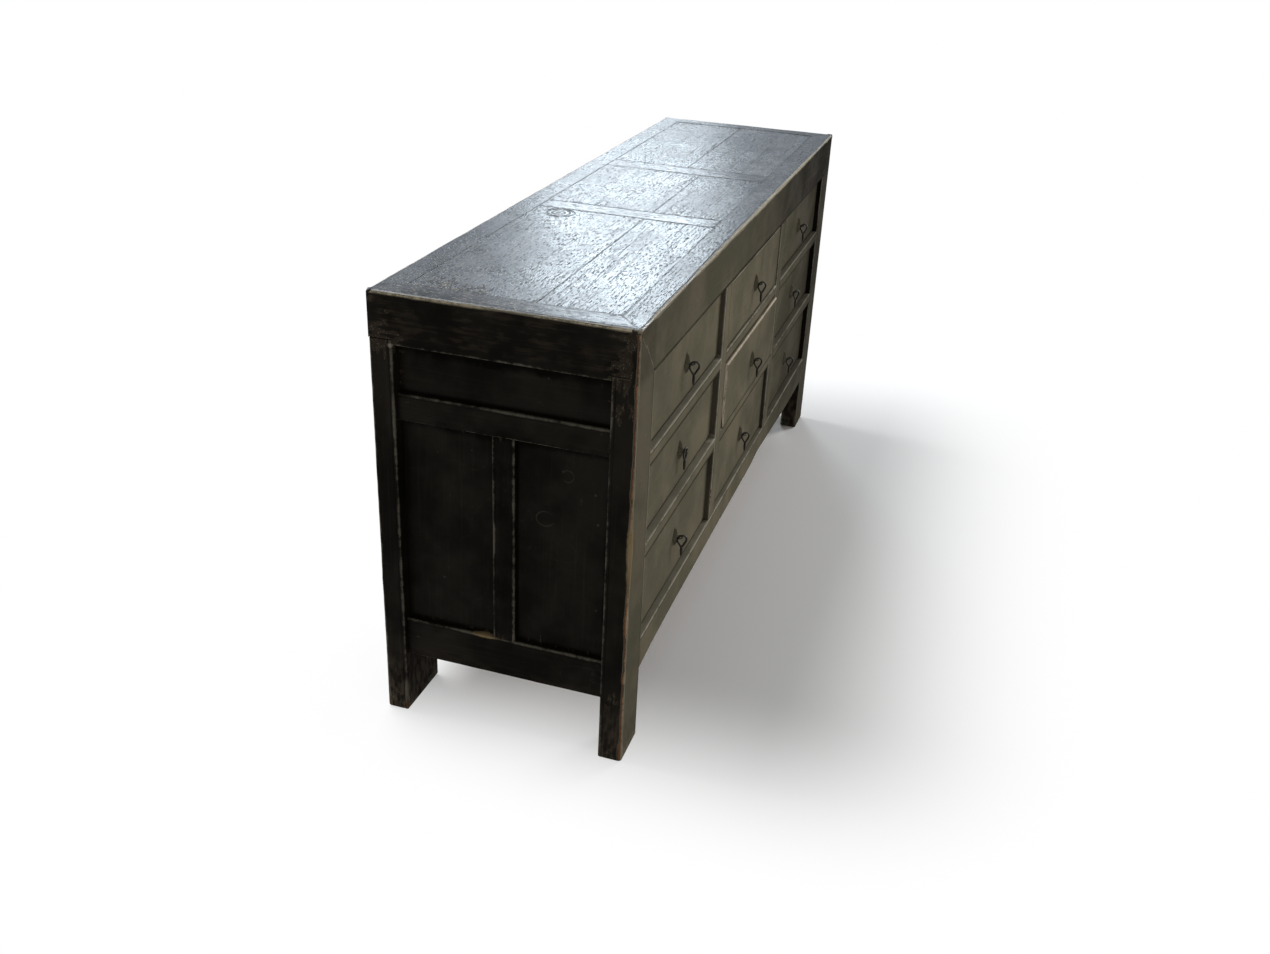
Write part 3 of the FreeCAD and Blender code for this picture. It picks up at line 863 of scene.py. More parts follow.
@dataclass(frozen=True)
class Lacquer:
    """Old black lacquer over open-grained wood, thin and rubbed through along the edges.

    The sides that face the room get lighter copies of the colours, painted light on the lit
    front, and the top has a polish of its own, so most colours come in two or three kinds. The
    planes of the front and the top say where each kind lies.
    """

    film: Colour = (0.0050, 0.0042, 0.0029)
    thin: Colour = (0.0115, 0.0092, 0.0062)
    # Lighter copies of the film, its thin parts and its dust, for the sides towards the room and for
    # upward faces: painted light.
    lit_film: Colour = (0.108, 0.099, 0.068)
    lit_thin: Colour = (0.152, 0.132, 0.091)
    # The top's film, paler and bluer than the rest: dusty bloom with a painted sheen.
    top_film: Colour = (0.018, 0.018, 0.020)
    top_thin: Colour = (0.045, 0.045, 0.050)
    under_film: Colour = (0.050, 0.037, 0.026)
    dust: Colour = (0.105, 0.096, 0.072)
    lit_dust: Colour = (0.36, 0.335, 0.265)
    # Lighter, greyer copies of stain and bare wood for the lit sides and the top: painted light.
    stain: Colour = (0.110, 0.055, 0.028)
    stain_front: Colour = (0.20, 0.170, 0.115)
    bare: Colour = (0.27, 0.130, 0.058)
    bare_front: Colour = (0.42, 0.365, 0.265)
    pale: Colour = (0.62, 0.53, 0.41)
    ochre: Colour = (0.200, 0.140, 0.064)
    pore: Colour = (0.004, 0.0035, 0.003)
    # The colour of painted shade under the end rails and beside the front post, and of the darker
    # muntin.
    soot: Colour = (0.0025, 0.0022, 0.002)
    knot: Colour = (0.006, 0.005, 0.004)
    # The colour of dark seams and of painted shade under edges, in groove hollows and along panel
    # borders.
    grime_and_shade: Colour = (0.0035, 0.003, 0.0025)
    crack: Colour = (0.003, 0.0025, 0.002)
    polish_tint: Colour = (0.80, 0.90, 1.0)
    coat_tint: Colour = (1.0, 0.95, 0.86)
    front: float = -1.0
    top: float = 0.85
    greyed: float = 0.0
    most_worn: float = 1.3
    roughness: float = 0.58
    specular: float = 0.0
    sheen: float = 0.07
    coat_roughness: float = 0.34
    polish: float = 0.9
    polish_roughness: float = 0.265
    grain_depth: float = 0.3 * MM
    ring: float = 5.5 * MM
    pores: float = 0.6
    haze: float = 0.05
    scratch: float = 0.12
    cracks: tuple[Crack, ...] = ()
    scuffs: tuple[Scuff, ...] = ()

    def material(self, name: str) -> bpy.types.Material:
        """Builds the material under a name."""
        return LacquerMixer(self, name).mixed()


class LacquerMixer:
    """Mixes one lacquer: reads the surface's patterns, then lays its colour, relief and shine."""

    DUSTY_FROM = (0.30, 0.50)
    BROWN_FROM = (0.60, 0.76)
    BARE_FROM = (0.86, 1.02)
    PALE_FROM = (1.10, 1.26)
    FLAKED_FROM = (0.60, 0.80)
    # Deeper behind the front plane than these, the lit colours give way to the dark film: painted shade
    # in the recesses.
    RECESSED_FROM = (22 * MM, 14 * MM)
    UPPER_FROM = (4.5 * MM, 2.0 * MM)
    GREYED_FROM = (9 * MM, 4 * MM)
    FOOT_TOP = 0.08
    BROWN_FOOT = (0.17, 0.01)
    FASCIA_FROM = (0.764, 0.774)
    NEAR_END_FROM = (-0.805, -0.830)
    BACK_RAIL_FROM = (0.198, 0.206)

    def __init__(self, look: Lacquer, name: str) -> None:
        """Reads every pattern that the colour, the relief and the shine share.

        Args:
            look: The lacquer.
            name: The material's name.
        """
        self.look = look
        self.graph = Graph(name)
        self.grain = self.graph.attribute("grain")
        self.place = self.graph.place()
        self._read_grain()
        self._read_place()
        self._read_marks()
        self._read_wear()

    def _read_grain(self) -> None:
        """Rings, and noise drawn out along the grain into streaks, pores, chips and pits."""
        graph, grain = self.graph, self.grain
        self.wander = graph.drawn(grain, 1.1, 14.0, 2.0)
        self.rings = graph.rings(grain, self.wander, 0.02, self.look.ring)
        self.streaks = graph.drawn(grain, 5.0, 230.0, 3.0)
        self.pore_noise = graph.drawn(grain, 70.0, 620.0, 1.0)
        self.ridges = graph.drawn(grain, 12.0, 120.0, 3.0)
        self.ripples = graph.drawn(grain, 130.0, 420.0, 2.0)
        self.chips = graph.drawn(grain, 38.0, 110.0, 5.0)
        self.scores = graph.drawn(grain, 1.8, 210.0, 2.0)
        self.short_pits = graph.cells(graph.stretched(grain, (62.0, 300.0, 300.0)), 1.0)

    def _read_place(self) -> None:
        """Noise of four sizes, how much of the lit colours each side takes, and what lies in the top.

        The lit colours are painted light on the front and on upward faces.
        """
        graph, look = self.graph, self.look
        self.across, self.depth, self.height = graph.parts(self.place)
        self.cloud = graph.noise(self.place, 5.5, 4.0)
        self.patch = graph.noise(self.place, 21.0, 3.0)
        self.fine = graph.noise(self.place, 90.0, 3.0)
        self.specks = graph.noise(self.place, 420.0, 2.0)
        outer, inner = self.RECESSED_FROM
        self.recess = self.depth.ramp(look.front + outer, look.front + inner)
        # The lit colours are weaker towards the far end, high on the front (more so towards its far
        # end) and at the near post: painted shade.
        far_end_shade = self.across.ramp(0.85, -0.25) * 0.80 + 0.20
        far_rail_shade = self.height.ramp(0.73, 0.77) * self.across.ramp(-0.35, 0.55)
        near_post_shade = self.across.ramp(-0.77, -0.79)
        rail = self.height.ramp(0.742, 0.762)
        lit_side = graph.number("front") * self.recess * far_end_shade * (1 - far_rail_shade * 0.65)
        self.lit_side = lit_side * (1 - near_post_shade * 0.3) * (1 - rail * 0.30)
        below, above = self.UPPER_FROM
        self.upper = self.height.ramp(look.top - below, look.top - above)
        open_grain = self.upper * 0.85 + 0.15
        pores = self.pore_noise.ramp(0.57, 0.66) * self.rings.ramp(0.1, 0.7)
        self.pores = pores * open_grain * look.pores
        # Dust colour, lighter where the lit colours lie and on the top: dust with painted light.
        self.dusty = graph.blend(self.lit_side.larger(self.upper), look.dust, look.lit_dust)

    def _read_marks(self) -> None:
        """The strength of each kind of mark: a frayed ellipsoid, or the rings round a centre."""
        self.marks: dict[Wear, Value] = {wear: 0.0 for wear in Wear}
        for scuff in self.look.scuffs:
            centred = self.graph.shifted(self.place, tuple(-value for value in scuff.centre))
            scaled = self.graph.stretched(centred, tuple(1 / value for value in scuff.size))
            away = self.graph.length(scaled)
            if scuff.wear in (Wear.RING, Wear.KNOT):
                bent = away + (self.patch - 0.5) * 0.25
                width = 0.10 if scuff.wear is Wear.RING else 0.16
                mask = abs(bent - 0.85).ramp(width, 0.0) * self.patch.ramp(0.40, 0.58)
                if scuff.wear is Wear.KNOT:
                    inner = (bent * 22.0).sine().ramp(0.2, 0.8) * bent.ramp(0.85, 0.70) * 0.6
                    mask = mask.larger(inner)
            else:
                frayed = away + (self.patch - 0.5) * 0.8 + (self.fine - 0.5) * 0.5
                mask = frayed.ramp(1.0, 0.4)
            self.marks[scuff.wear] = (mask * scuff.strength).larger(self.marks[scuff.wear])
        # Painted shade under the end rails and beside the front post, and the darker muntin, behind the
        # front plane.
        self.sooty = (1 - self.recess) * self.marks[Wear.SOOTY]

    def _read_wear(self) -> None:
        """How far the film is gone, and the flakes, scratches, dents, pits and cracks.

        The rub of an edge and finer noise pass one threshold after another, at which the film
        turns dusty, then brown, then to bare and to pale wood.
        """
        graph, look, patch, fine = self.graph, self.look, self.patch, self.fine
        unrest = (patch - 0.5) * 0.6 + (fine - 0.5) * 0.8 + (self.specks - 0.5) * 0.6
        kicked = self.height.ramp(self.FOOT_TOP, 0.0) * (0.34 + unrest * 0.5)
        worn = graph.number("rub") * (1 + unrest) + kicked
        worn = worn.smaller(look.most_worn).larger(self.marks[Wear.TAN])
        self.to_dust = worn.ramp(*self.DUSTY_FROM)
        self.to_stain = worn.ramp(*self.BROWN_FROM)
        self.to_bare = worn.ramp(*self.BARE_FROM)
        self.to_pale = worn.ramp(*self.PALE_FROM)
        flaking = graph.number("soil") * 0.55 + (self.chips - 0.5) * 3.0 + self.marks[Wear.FLAKED]
        self.flaked = flaking.ramp(*self.FLAKED_FROM)
        self.rim = self.flaked * self.specks.ramp(0.54, 0.64) * fine.ramp(0.44, 0.54)
        lines = graph.noise(graph.stretched(self.place, (2.6, 1.7, 2.2)), 3.0, 1.0)
        self.hairs = abs(lines - 0.5).ramp(0.0035, 0.0008) * fine.ramp(0.44, 0.6) * look.scratch
        self.dents = graph.cells(self.place, 26.0).ramp(0.09, 0.03) * self.cloud.ramp(0.5, 0.62)
        self.pits = self.short_pits.ramp(0.36, 0.14) * patch.ramp(0.36, 0.54)
        self.scored = self.scores.ramp(0.61, 0.645) * self.wander.ramp(0.40, 0.56)
        self.cracked = self._cracks()

    def _cracks(self) -> Value:
        """The mask of all cracks: nearness to each line, wavering with noise."""
        total: Value = 0.0
        wander = self.graph.noise(self.graph.stretched(self.place, (9.0, 9.0, 9.0)), 1.0, 3.0)
        for crack in self.look.cracks:
            share = (self.across - crack.start[0]) / (crack.stop[0] - crack.start[0])
            line = share * (crack.stop[1] - crack.start[1]) + crack.start[1]
            line = line + (wander - 0.5) * (2 * crack.waver)
            here = share.ramp(0.0, 0.12) * share.ramp(1.0, 0.85) * self.cloud.ramp(0.3, 0.5)
            mask = abs(self.depth - line).ramp(crack.width, crack.width * 0.3) * here
            total = mask.larger(total)
        return total

    def _film(self) -> bpy.types.NodeSocket:
        """The film's colour: thin, stained or flaked in places, with flecks, streaks and dust.

        Its lighter copies on the front and the top are painted light, and the pale flecks on the
        top are painted glints.
        """
        graph, look, lit_side, upper = self.graph, self.look, self.lit_side, self.upper
        film = graph.blend(upper, graph.blend(lit_side, look.film, look.lit_film), look.top_film)
        thin = graph.blend(upper, graph.blend(lit_side, look.thin, look.lit_thin), look.top_thin)
        thin_part = (self.cloud + (self.patch - 0.5) * 0.5).ramp(0.34, 0.70)
        foot = self.height.ramp(*self.BROWN_FOOT) * (1 - lit_side) * self.chips.ramp(0.40, 0.62)
        fascia = self.height.ramp(*self.FASCIA_FROM) * (1 - lit_side) * (1 - upper)
        tea = (self.streaks * 0.4 + self.chips * 0.6).ramp(0.46, 0.60) * fascia
        # Pale flecks over the top's relief, thickest towards the near end: painted glints.
        near_glints = self.across.ramp(-0.45, -0.80) * 0.35 + 0.30
        # Dust on upward faces of the front, also painted light from above.
        dust_and_light_on_ledges = graph.number("dust") * ((self.patch - 0.5) * 0.8 + 0.8)
        return graph.layered(
            graph.blend(thin_part, film, thin),
            (foot, look.under_film),
            (tea * self.patch.ramp(0.34, 0.56) * 0.27, look.under_film),
            (self.ripples.ramp(0.60, 0.70) * upper * near_glints, look.lit_dust),
            (self.streaks.ramp(0.5, 0.8) * look.haze, self.dusty),
            ((self.to_dust * 0.85).larger(dust_and_light_on_ledges), self.dusty),
            (self.flaked * (1 - lit_side) * (1 - upper) * 0.45, look.under_film),
            (self.rim * 0.9, self.dusty),
        )

    def _colour(self) -> bpy.types.NodeSocket:
        """The whole colour: the film, the wood where it is rubbed through, and every mark."""
        graph, look, marks = self.graph, self.look, self.marks
        below, above = self.GREYED_FROM
        # Wear on the lit front, on the top, on the drawers and at tan marks takes the lighter, greyer
        # copies: painted light.
        greyed = self.recess * graph.number("front").ramp(0.55, 0.90)
        greyed = greyed.larger(self.height.ramp(look.top - below, look.top - above))
        greyed = greyed.larger(look.greyed).larger(0.65 * marks[Wear.TAN])
        stain = graph.blend(greyed, look.stain, look.stain_front)
        bare = graph.blend(greyed, look.bare, look.bare_front)
        # Dark seams, and painted shade under the rails' and drawers' lower edges, in groove hollows and
        # along panel borders.
        grime_and_shade = graph.number("shade") * (0.75 + (self.patch - 0.5) * 0.8)
        return graph.layered(
            self._film(),
            (self.to_stain, graph.blend(self.streaks * 0.6, stain, look.thin)),
            (self.to_bare, graph.blend(self.rings * 0.6 + self.streaks * 0.5, stain, bare)),
            (self.to_pale, look.pale),
            (0.75 * marks[Wear.TAN], look.ochre),
            (self.hairs * 0.5, self.dusty),
            (self.dents * 0.4, self.dusty),
            (self.pores * (1 - self.to_bare * 0.5), look.pore),
            # Pale spots: painted highlights at the cross rails' ends, and a dusty spot by the back
            # post.
            (marks[Wear.DUSTY], look.lit_dust),
            # Painted shade under the end rails and beside the front post; a darker muntin.
            (self.sooty * 0.8, look.soot),
            (0.5 * marks[Wear.RING], look.dust),
            (marks[Wear.KNOT], look.knot),
            (grime_and_shade.smaller(1.0) * 0.9, look.grime_and_shade),
            (self.cracked, look.crack),
        )

    def _relief(self) -> Signal:
        """The height of the surface: open grain on the top, and what is gone from the film."""
        opened = self.ridges * 0.2 + self.ripples * 0.95 + self.fine * 0.5 + self.streaks * 0.35
        opened = opened * (1 - self.graph.number("smooth") * 0.75)
        opened = (opened - self.pits * 0.9 - self.scored * 0.35) * self.upper
        uneven = self.patch * 1.2 + self.fine * 0.3
        gone = self.hairs * 0.5 + self.dents * 1.2 + self.pores * 1.2 + self.flaked * 0.8
        gone = gone + self.to_dust * 0.2 + self.to_stain * 0.4 + self.to_bare * 0.5
        return uneven + opened - gone - 3.0 * self.marks[Wear.KNOT] - 2.5 * self.cracked

    def _polish(self) -> Signal:
        """How polished the top is: less in pores, pits and scores, and uneven over its length."""
        polish = self.upper * (1 - self.pores * 0.8) * (1 - self.to_bare * 0.6)
        polish = polish * (1 - self.pits * 0.62) * (1 - self.scored * 0.3)
        polish = polish * (1 - self.graph.number("shade")) * (1 - self.flaked * 0.5)
        near_end = self.across.ramp(*self.NEAR_END_FROM)
        toward_front = self.depth.ramp(-0.02, -0.20) * 0.52 - 0.32
        polish = polish * (1 + near_end * toward_front + self.depth.ramp(*self.BACK_RAIL_FROM) * 0.2)
        polish = polish * (self.across.ramp(-0.30, -0.75) * 0.09 + 0.94 + (self.patch - 0.5) * 0.45)
        return polish * (1 - 0.8 * self.marks[Wear.KNOT])

    def mixed(self) -> bpy.types.Material:
        """Feeds the shader, and a second one over it where the wood is polished.

        Returns:
            The material.
        """
        graph, look, cloud, patch = self.graph, self.look, self.cloud, self.patch
        colour = self._colour()
        normal = graph.bumped(self._relief(), look.grain_depth)
        rough = (cloud - 0.5) * 0.3 + (patch - 0.5) * 0.2 + look.roughness
        rough = rough + self.to_dust * 0.06 + self.to_bare * 0.1
        rough = rough + self.pores * 0.2 + self.flaked * 0.1
        graph.dress(Base_Color=colour, Roughness=rough.larger(0.12).smaller(0.9), Normal=normal)
        graph.dress(Specular_IOR_Level=look.specular)
        graph.dress(Coat_Roughness=look.coat_roughness, Coat_Tint=look.coat_tint)
        mottle = (cloud + (patch - 0.5) * 0.5).ramp(0.32, 0.72) * 0.7 + 0.6
        coat = (1 - self.lit_side) * mottle * (1 - self.flaked * 0.6) * look.sheen
        graph.dress(Coat_Weight=coat * (1 - self.sooty * 0.85))
        if look.polish > 0:
            polished = graph.over(self._polish() * look.polish)
            smooth = (cloud - 0.5) * 0.26 + (patch - 0.5) * 0.12 + (self.fine - 0.5) * 0.1
            smooth = (smooth + self.pores * 0.3 + look.polish_roughness).larger(0.1)
            graph.dress(polished, Base_Color=colour, Roughness=smooth, Normal=normal)
            graph.dress(polished, Specular_IOR_Level=0.5, Specular_Tint=look.polish_tint)
        return graph.material


@dataclass(frozen=True)
class RawWood:
    """Unfinished boards inside the chest, darkened by age and handling."""

    early: Colour = (0.42, 0.29, 0.17)
    late: Colour = (0.26, 0.155, 0.08)
    grime_and_shade: Colour = (0.10, 0.065, 0.038)
    ring: float = 6 * MM

    def material(self, name: str) -> bpy.types.Material:
        """Builds the material: rings and streaks of two woods under patches of dirt.

        Args:
            name: The material's name.

        Returns:
            The material.
        """
        graph = Graph(name)
        grain, place = graph.attribute("grain"), graph.place()
        rings = graph.rings(grain, graph.drawn(grain, 1.3, 12.0, 2.0), 0.022, self.ring)
        streaks = graph.drawn(grain, 6.0, 240.0, 3.0)
        saw = graph.drawn(grain, 420.0, 6.0, 1.0)
        cloud = graph.noise(place, 6.0, 4.0)
        fine = graph.noise(place, 120.0, 3.0)
        grimy = (cloud + (fine - 0.5) * 0.5 + graph.number("soil") * 0.3).ramp(0.42, 0.85)
        rubbed = graph.number("rub").ramp(0.35, 0.8) * fine.ramp(0.4, 0.6)
        colour = graph.layered(
            graph.blend(rings ** 2.0 * 0.75 + streaks * 0.3, self.early, self.late),
            (grimy * 0.75, self.grime_and_shade),
            (rubbed * 0.4, self.late),
        )
        height = streaks * 0.5 + rings * 0.3 + saw * 0.25 + fine * 0.3
        graph.dress(Base_Color=colour, Roughness=0.66 + (fine - 0.5) * 0.3 + grimy * 0.1)
        graph.dress(Specular_IOR_Level=0.3, Normal=graph.bumped(height, 0.35 * MM))
        return graph.material


@dataclass(frozen=True)
class Iron:
    """Hand-forged iron, dark with age, with brown rust in the hollows and rubbed crests.

    The pale crests are worn bright iron and also painted highlights.
    """

    dark: Colour
    rust: Colour
    rubbed: Colour
    roughness: float
    specular: float
    tint: Colour = (1.0, 0.90, 0.76)

    def material(self, name: str) -> bpy.types.Material:
        """Builds the material: hammered facets, rust patches and rubbed crests, partly painted
        highlights.

        Args:
            name: The material's name.

        Returns:
            The material.
        """
        graph = Graph(name)
        place = graph.place()
        facets = graph.cells(place, 300.0, "SMOOTH_F1")
        cloud = graph.noise(place, 130.0, 4.0)
        fine = graph.noise(place, 900.0, 3.0)
        rusty = (cloud + (fine - 0.5) * 0.4).ramp(0.50, 0.68)
        # Pale where the rub mark is high: worn iron and painted highlights.
        rubbed = (graph.number("rub") + (fine - 0.5) * 0.5 + (cloud - 0.5) * 0.3).ramp(0.62, 0.95)
        colour = graph.layered(self.dark, (rusty * 0.7, self.rust), (rubbed * 0.8, self.rubbed))
        graph.dress(Base_Color=colour, Specular_IOR_Level=self.specular, Specular_Tint=self.tint)
        graph.dress(Roughness=self.roughness + rusty * 0.25 + (fine - 0.5) * 0.2 - rubbed * 0.12)
        graph.dress(Normal=graph.bumped(facets * 0.6 + fine * 0.4 + cloud * 0.5, 0.25 * MM))
        return graph.material


class Workshop:
    """Keeps the finishes and turns shells into pieces that ride on the frame's bodies."""

    def __init__(self) -> None:
        """Mixes every finish once."""
        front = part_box("top_rail_front")[0].y
        dry, dry_thin = (0.045, 0.034, 0.024), (0.085, 0.062, 0.042)
        dry_dust, dry_stain, dry_bare = (0.11, 0.085, 0.06), (0.13, 0.085, 0.05), (0.30, 0.19, 0.11)
        looks = {
            Slot.LACQUER: Lacquer(
                front=front, most_worn=1.04, polish=0.76, scuffs=self._scuffs_of_case()
            ),
            Slot.DRAWER: Lacquer(front=front + 40 * MM, greyed=1.0, polish=0.0),
            Slot.TOP: Lacquer(
                pores=0.9,
                haze=0.15,
                scuffs=(
                    Scuff(Wear.KNOT, (-0.262, 0.146, 0.85), (0.036, 0.036, 0.02)),
                    Scuff(Wear.FLAKED, (-0.790, 0.130, 0.85), (0.060, 0.110, 0.02), 0.65),
                ),
                cracks=(
                    Crack((-0.72, -0.078), (-0.28, -0.052), 0.8 * MM),
                    Crack((-0.66, 0.045), (-0.42, 0.052), 0.8 * MM),
                    Crack((0.24, 0.121), (0.37, 0.160), 1.0 * MM),
                    Crack((-0.14, 0.062), (0.10, 0.066), 0.7 * MM),
                ),
            ),
            Slot.BACK: Lacquer(
                film=dry, thin=dry_thin, lit_film=dry, lit_thin=dry_thin, under_film=dry_thin,
                dust=dry_dust, lit_dust=dry_dust, stain=dry_stain, stain_front=dry_stain,
                bare=dry_bare, bare_front=dry_bare, pale=(0.45, 0.33, 0.21),
                haze=0.4, roughness=0.68, specular=0.25, sheen=0.0, polish=0.0,
                grain_depth=0.5 * MM,
            ),
            Slot.INNER: RawWood(),
            Slot.PLATE: Iron(
                dark=(0.088, 0.080, 0.055), rust=(0.045, 0.036, 0.023),
                rubbed=(0.24, 0.22, 0.165), roughness=0.70, specular=0.0,
            ),
            Slot.DROP: Iron(
                dark=(0.011, 0.0095, 0.007), rust=(0.024, 0.017, 0.010),
                rubbed=(0.26, 0.235, 0.185), roughness=0.5, specular=0.30,
            ),
        }
        self.finishes = {slot: look.material(slot.value) for slot, look in looks.items()}
        self.count = 0

    @staticmethod
    def _scuffs_of_case() -> tuple[Scuff, ...]:
        """The marks that the case shows.

        Flaked corners, scuffed feet, stains, rings, a dusty spot by the back post, a darker
        muntin, painted shade under the end rails and beside the front post, and painted
        highlights at the ends of the cross rails.
        """
        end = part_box("end_rails_left")[0].x
        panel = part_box("end_panels_left")[0].x
        low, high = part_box("post_front_left")
        back_low, back_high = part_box("post_back_left")
        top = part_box("top_rail_front")[1].z
        rail_foot = 0.128
        near, far = low.y, back_high.y
        marks = [
            Scuff(Wear.FLAKED, (low.x, near + 0.024, top - 0.085), (0.05, 0.040, 0.062), 0.72),
            Scuff(Wear.FLAKED, (low.x, near + 0.010, top - 0.020), (0.03, 0.034, 0.020), 0.60),
            Scuff(Wear.FLAKED, (low.x, near + 0.022, top - 0.150), (0.02, 0.030, 0.040), 0.60),
            Scuff(Wear.FLAKED, (low.x, far - 0.030, top - 0.085), (0.05, 0.045, 0.045), 0.62),
            Scuff(Wear.FLAKED, (low.x, near + 0.022, 0.135), (0.02, 0.022, 0.034), 0.72),
            Scuff(Wear.FLAKED, (low.x, near + 0.020, 0.020), (0.06, 0.040, 0.030), 0.50),
            Scuff(Wear.FLAKED, (low.x, far - 0.020, 0.020), (0.09, 0.045, 0.040), 0.50),
            Scuff(Wear.TAN, (end, 0.052, rail_foot + 0.078), (0.02, 0.034, 0.006), 0.95),
            Scuff(Wear.TAN, (low.x + 0.001, near + 0.001, 0.438), (0.0115, 0.009, 0.115), 0.93),
            # A darker muntin; then painted shade under the end's top rail and mid rail, and beside the
            # front post.
            Scuff(Wear.SOOTY, (end, (near + far) / 2, 0.400), (0.010, 0.026, 0.200), 0.55),
            Scuff(Wear.SOOTY, (panel, 0.0, 0.752), (0.016, 0.40, 0.024), 0.9),
            Scuff(Wear.SOOTY, (panel, 0.0, 0.616), (0.016, 0.40, 0.020), 0.8),
            Scuff(Wear.SOOTY, (panel, -0.180, 0.42), (0.016, 0.012, 0.30), 0.8),
            Scuff(Wear.DUSTY, (low.x, back_low.y + 0.003, top - 0.094), (0.02, 0.007, 0.005), 0.5),
            Scuff(Wear.RING, (panel, -0.100, 0.560), (0.02, 0.013, 0.013), 0.9),
            Scuff(Wear.RING, (panel, -0.060, 0.470), (0.02, 0.020, 0.017), 0.5),
        ]
        # Painted highlights on the cross rails' upper faces, at their ends beside the dividers.
        for drawer in ("drawer_top_left", "drawer_middle_left", "drawer_top_centre"):
            corner_low, corner_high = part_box(drawer + "_front")
            spot = (corner_high.x - 0.010, near + 0.007, corner_low.z)
            marks.append(Scuff(Wear.DUSTY, spot, (0.019, 0.014, 0.010), 0.9))
        return tuple(marks)

    def piece(
        self,
        name: str,
        parts: Sequence[Union[Member, Shell]],
        slot: Slot,
        body: str = "case",
        replaces: bool = True,
    ) -> None:
        """Makes one piece and seats it on its body.

        Args:
            name: The piece's name, which is its CAD node's where it stands for one.
            parts: Its members and other closed surfaces.
            slot: The record's slot, which also picks the finish.
            body: The CAD body that it rides on.
            replaces: Whether it stands for the CAD node of its name.
        """
        shells = [part.shell() if isinstance(part, Member) else part for part in parts]
        whole = Shell.joined(shells)
        mesh = bpy.data.meshes.new(name)
        mesh.vertices.add(len(whole.points))
        mesh.vertices.foreach_set("co", whole.points.astype(np.float32).ravel())
        mesh.loops.add(len(whole.corners))
        mesh.loops.foreach_set("vertex_index", whole.corners.astype(np.int32))
        mesh.polygons.add(len(whole.counts))
        starts = np.concatenate([[0], np.cumsum(whole.counts)[:-1]]).astype(np.int32)
        mesh.polygons.foreach_set("loop_start", starts)
        mesh.polygons.foreach_set("loop_total", whole.counts.astype(np.int32))
        mesh.polygons.foreach_set("use_smooth", np.ones(len(whole.counts), bool))
        mesh.update(calc_edges=True)
        mesh.validate()
        grain = mesh.attributes.new("grain", "FLOAT_VECTOR", "POINT")
        grain.data.foreach_set("vector", whole.grain.astype(np.float32).ravel())
        for mark, values in whole.marks.items():
            numbers = mesh.attributes.new(mark, "FLOAT", "POINT")
            numbers.data.foreach_set("value", values.astype(np.float32))
        mesh.set_sharp_from_angle(angle=math.radians(50))
        mesh.materials.append(self.finishes[slot])
        made = bpy.data.objects.new(name, mesh)
        bpy.context.scene.collection.objects.link(made)
        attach(made, body)
        if replaces:
            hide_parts(name)
        self.count += 1
        log.info("%s: %d points on %s", name, len(whole.points), body)


@dataclass
class CaseSizes:
    """The sizes of the case, in metres, from the frame's boxes and a few of its own."""

    front_rail_lip: float = 15 * MM
    groove: float = 8 * MM
    front_rail_width: float = 50 * MM
    end_rail_width: float = 53 * MM
    rail_height: float = 28 * MM
    divider_width: float = 46 * MM
    rows: dict[str, float] = field(
        default_factory=lambda: {"top": 150 * MM, "middle": 152 * MM, "bottom": 170 * MM}
    )
    apron_height: float = 56 * MM
    seam_gap: float = 0.4 * MM
    tongue: float = 12 * MM

    def __post_init__(self) -> None:
        """Reads the planes of the case from the frame."""
        front_low, front_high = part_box("post_front_left")
        back_low, back_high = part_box("post_back_left")
        rail_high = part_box("top_rail_front")[1]
        self.x_out = -back_low.x
        self.x_in = -front_high.x
        self.x_back_in = -back_high.x
        self.y_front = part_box("top_rail_front")[0].y
        self.y_front_in = front_high.y
        self.y_back_in = back_low.y
        self.y_back = back_high.y
        self.top = rail_high.z
        self.post_top = back_high.z
        self.front_rail = self.post_top - self.front_rail_lip
        self.end_rail = self.post_top - self.groove
        self.y_middle = (self.y_front + self.y_back) / 2
        self.row_span: dict[str, tuple[float, float]] = {}
        above = self.front_rail
        for name, height in self.rows.items():
            self.row_span[name] = (above - height, above)
            above = above - height - self.rail_height
        self.apron_top = self.row_span["bottom"][0]
        self.apron_bottom = self.apron_top - self.apron_height
        width = (2 * self.x_in - 2 * self.divider_width) / 3
        pitch = width + self.divider_width
        self.column_span = {
            name: (-self.x_in + index * pitch, -self.x_in + index * pitch + width)
            for index, name in enumerate(("left", "centre", "right"))
        }
        self.dividers = (-pitch / 2, pitch / 2)


@dataclass
class Assembly:
    """A group of pieces of the case, and the workshop that dresses them."""

    shop: Workshop
    sizes: CaseSizes


EDGE_SOFT = Edge(1.6 * MM, 0.7 * MM, 0.0, 0.42, 2.5 * MM)
EDGE_SHARP = Edge(0.7 * MM, 0.3 * MM, 0.0, 0.30, 1.5 * MM)
EDGE_CASE = Edge(5.0 * MM, 1.6 * MM, 2.0 * MM, 1.02, 1.5 * MM, 0.4, 0.56)
EDGE_TOP_LEFT = Edge(7.0 * MM, 1.8 * MM, 3.0 * MM, 1.15, 1.5 * MM, 0.35, 0.26)
EDGE_TOP_RIGHT = Edge(7.0 * MM, 1.8 * MM, 3.0 * MM, 1.15, 1.5 * MM, 0.65, 0.26)
EDGE_TOP_FRONT = Edge(6.0 * MM, 2.4 * MM, 5.0 * MM, 1.15, 2.0 * MM, 0.62, 0.36)
EDGE_BACK = Edge(5.0 * MM, 1.5 * MM, 3.0 * MM, 0.52, 3.0 * MM)
EDGE_BEAD = Edge(2.3 * MM, 0.4 * MM, 0.0, 0.54, 1.6 * MM, 0.5, 1.2)
# Wide pale bands along the ends' frame edges: rubbed wear and painted highlight.
EDGE_END = Edge(2.6 * MM, 0.5 * MM, 0.0, 0.43, 5.0 * MM, 0.5, 1.2)
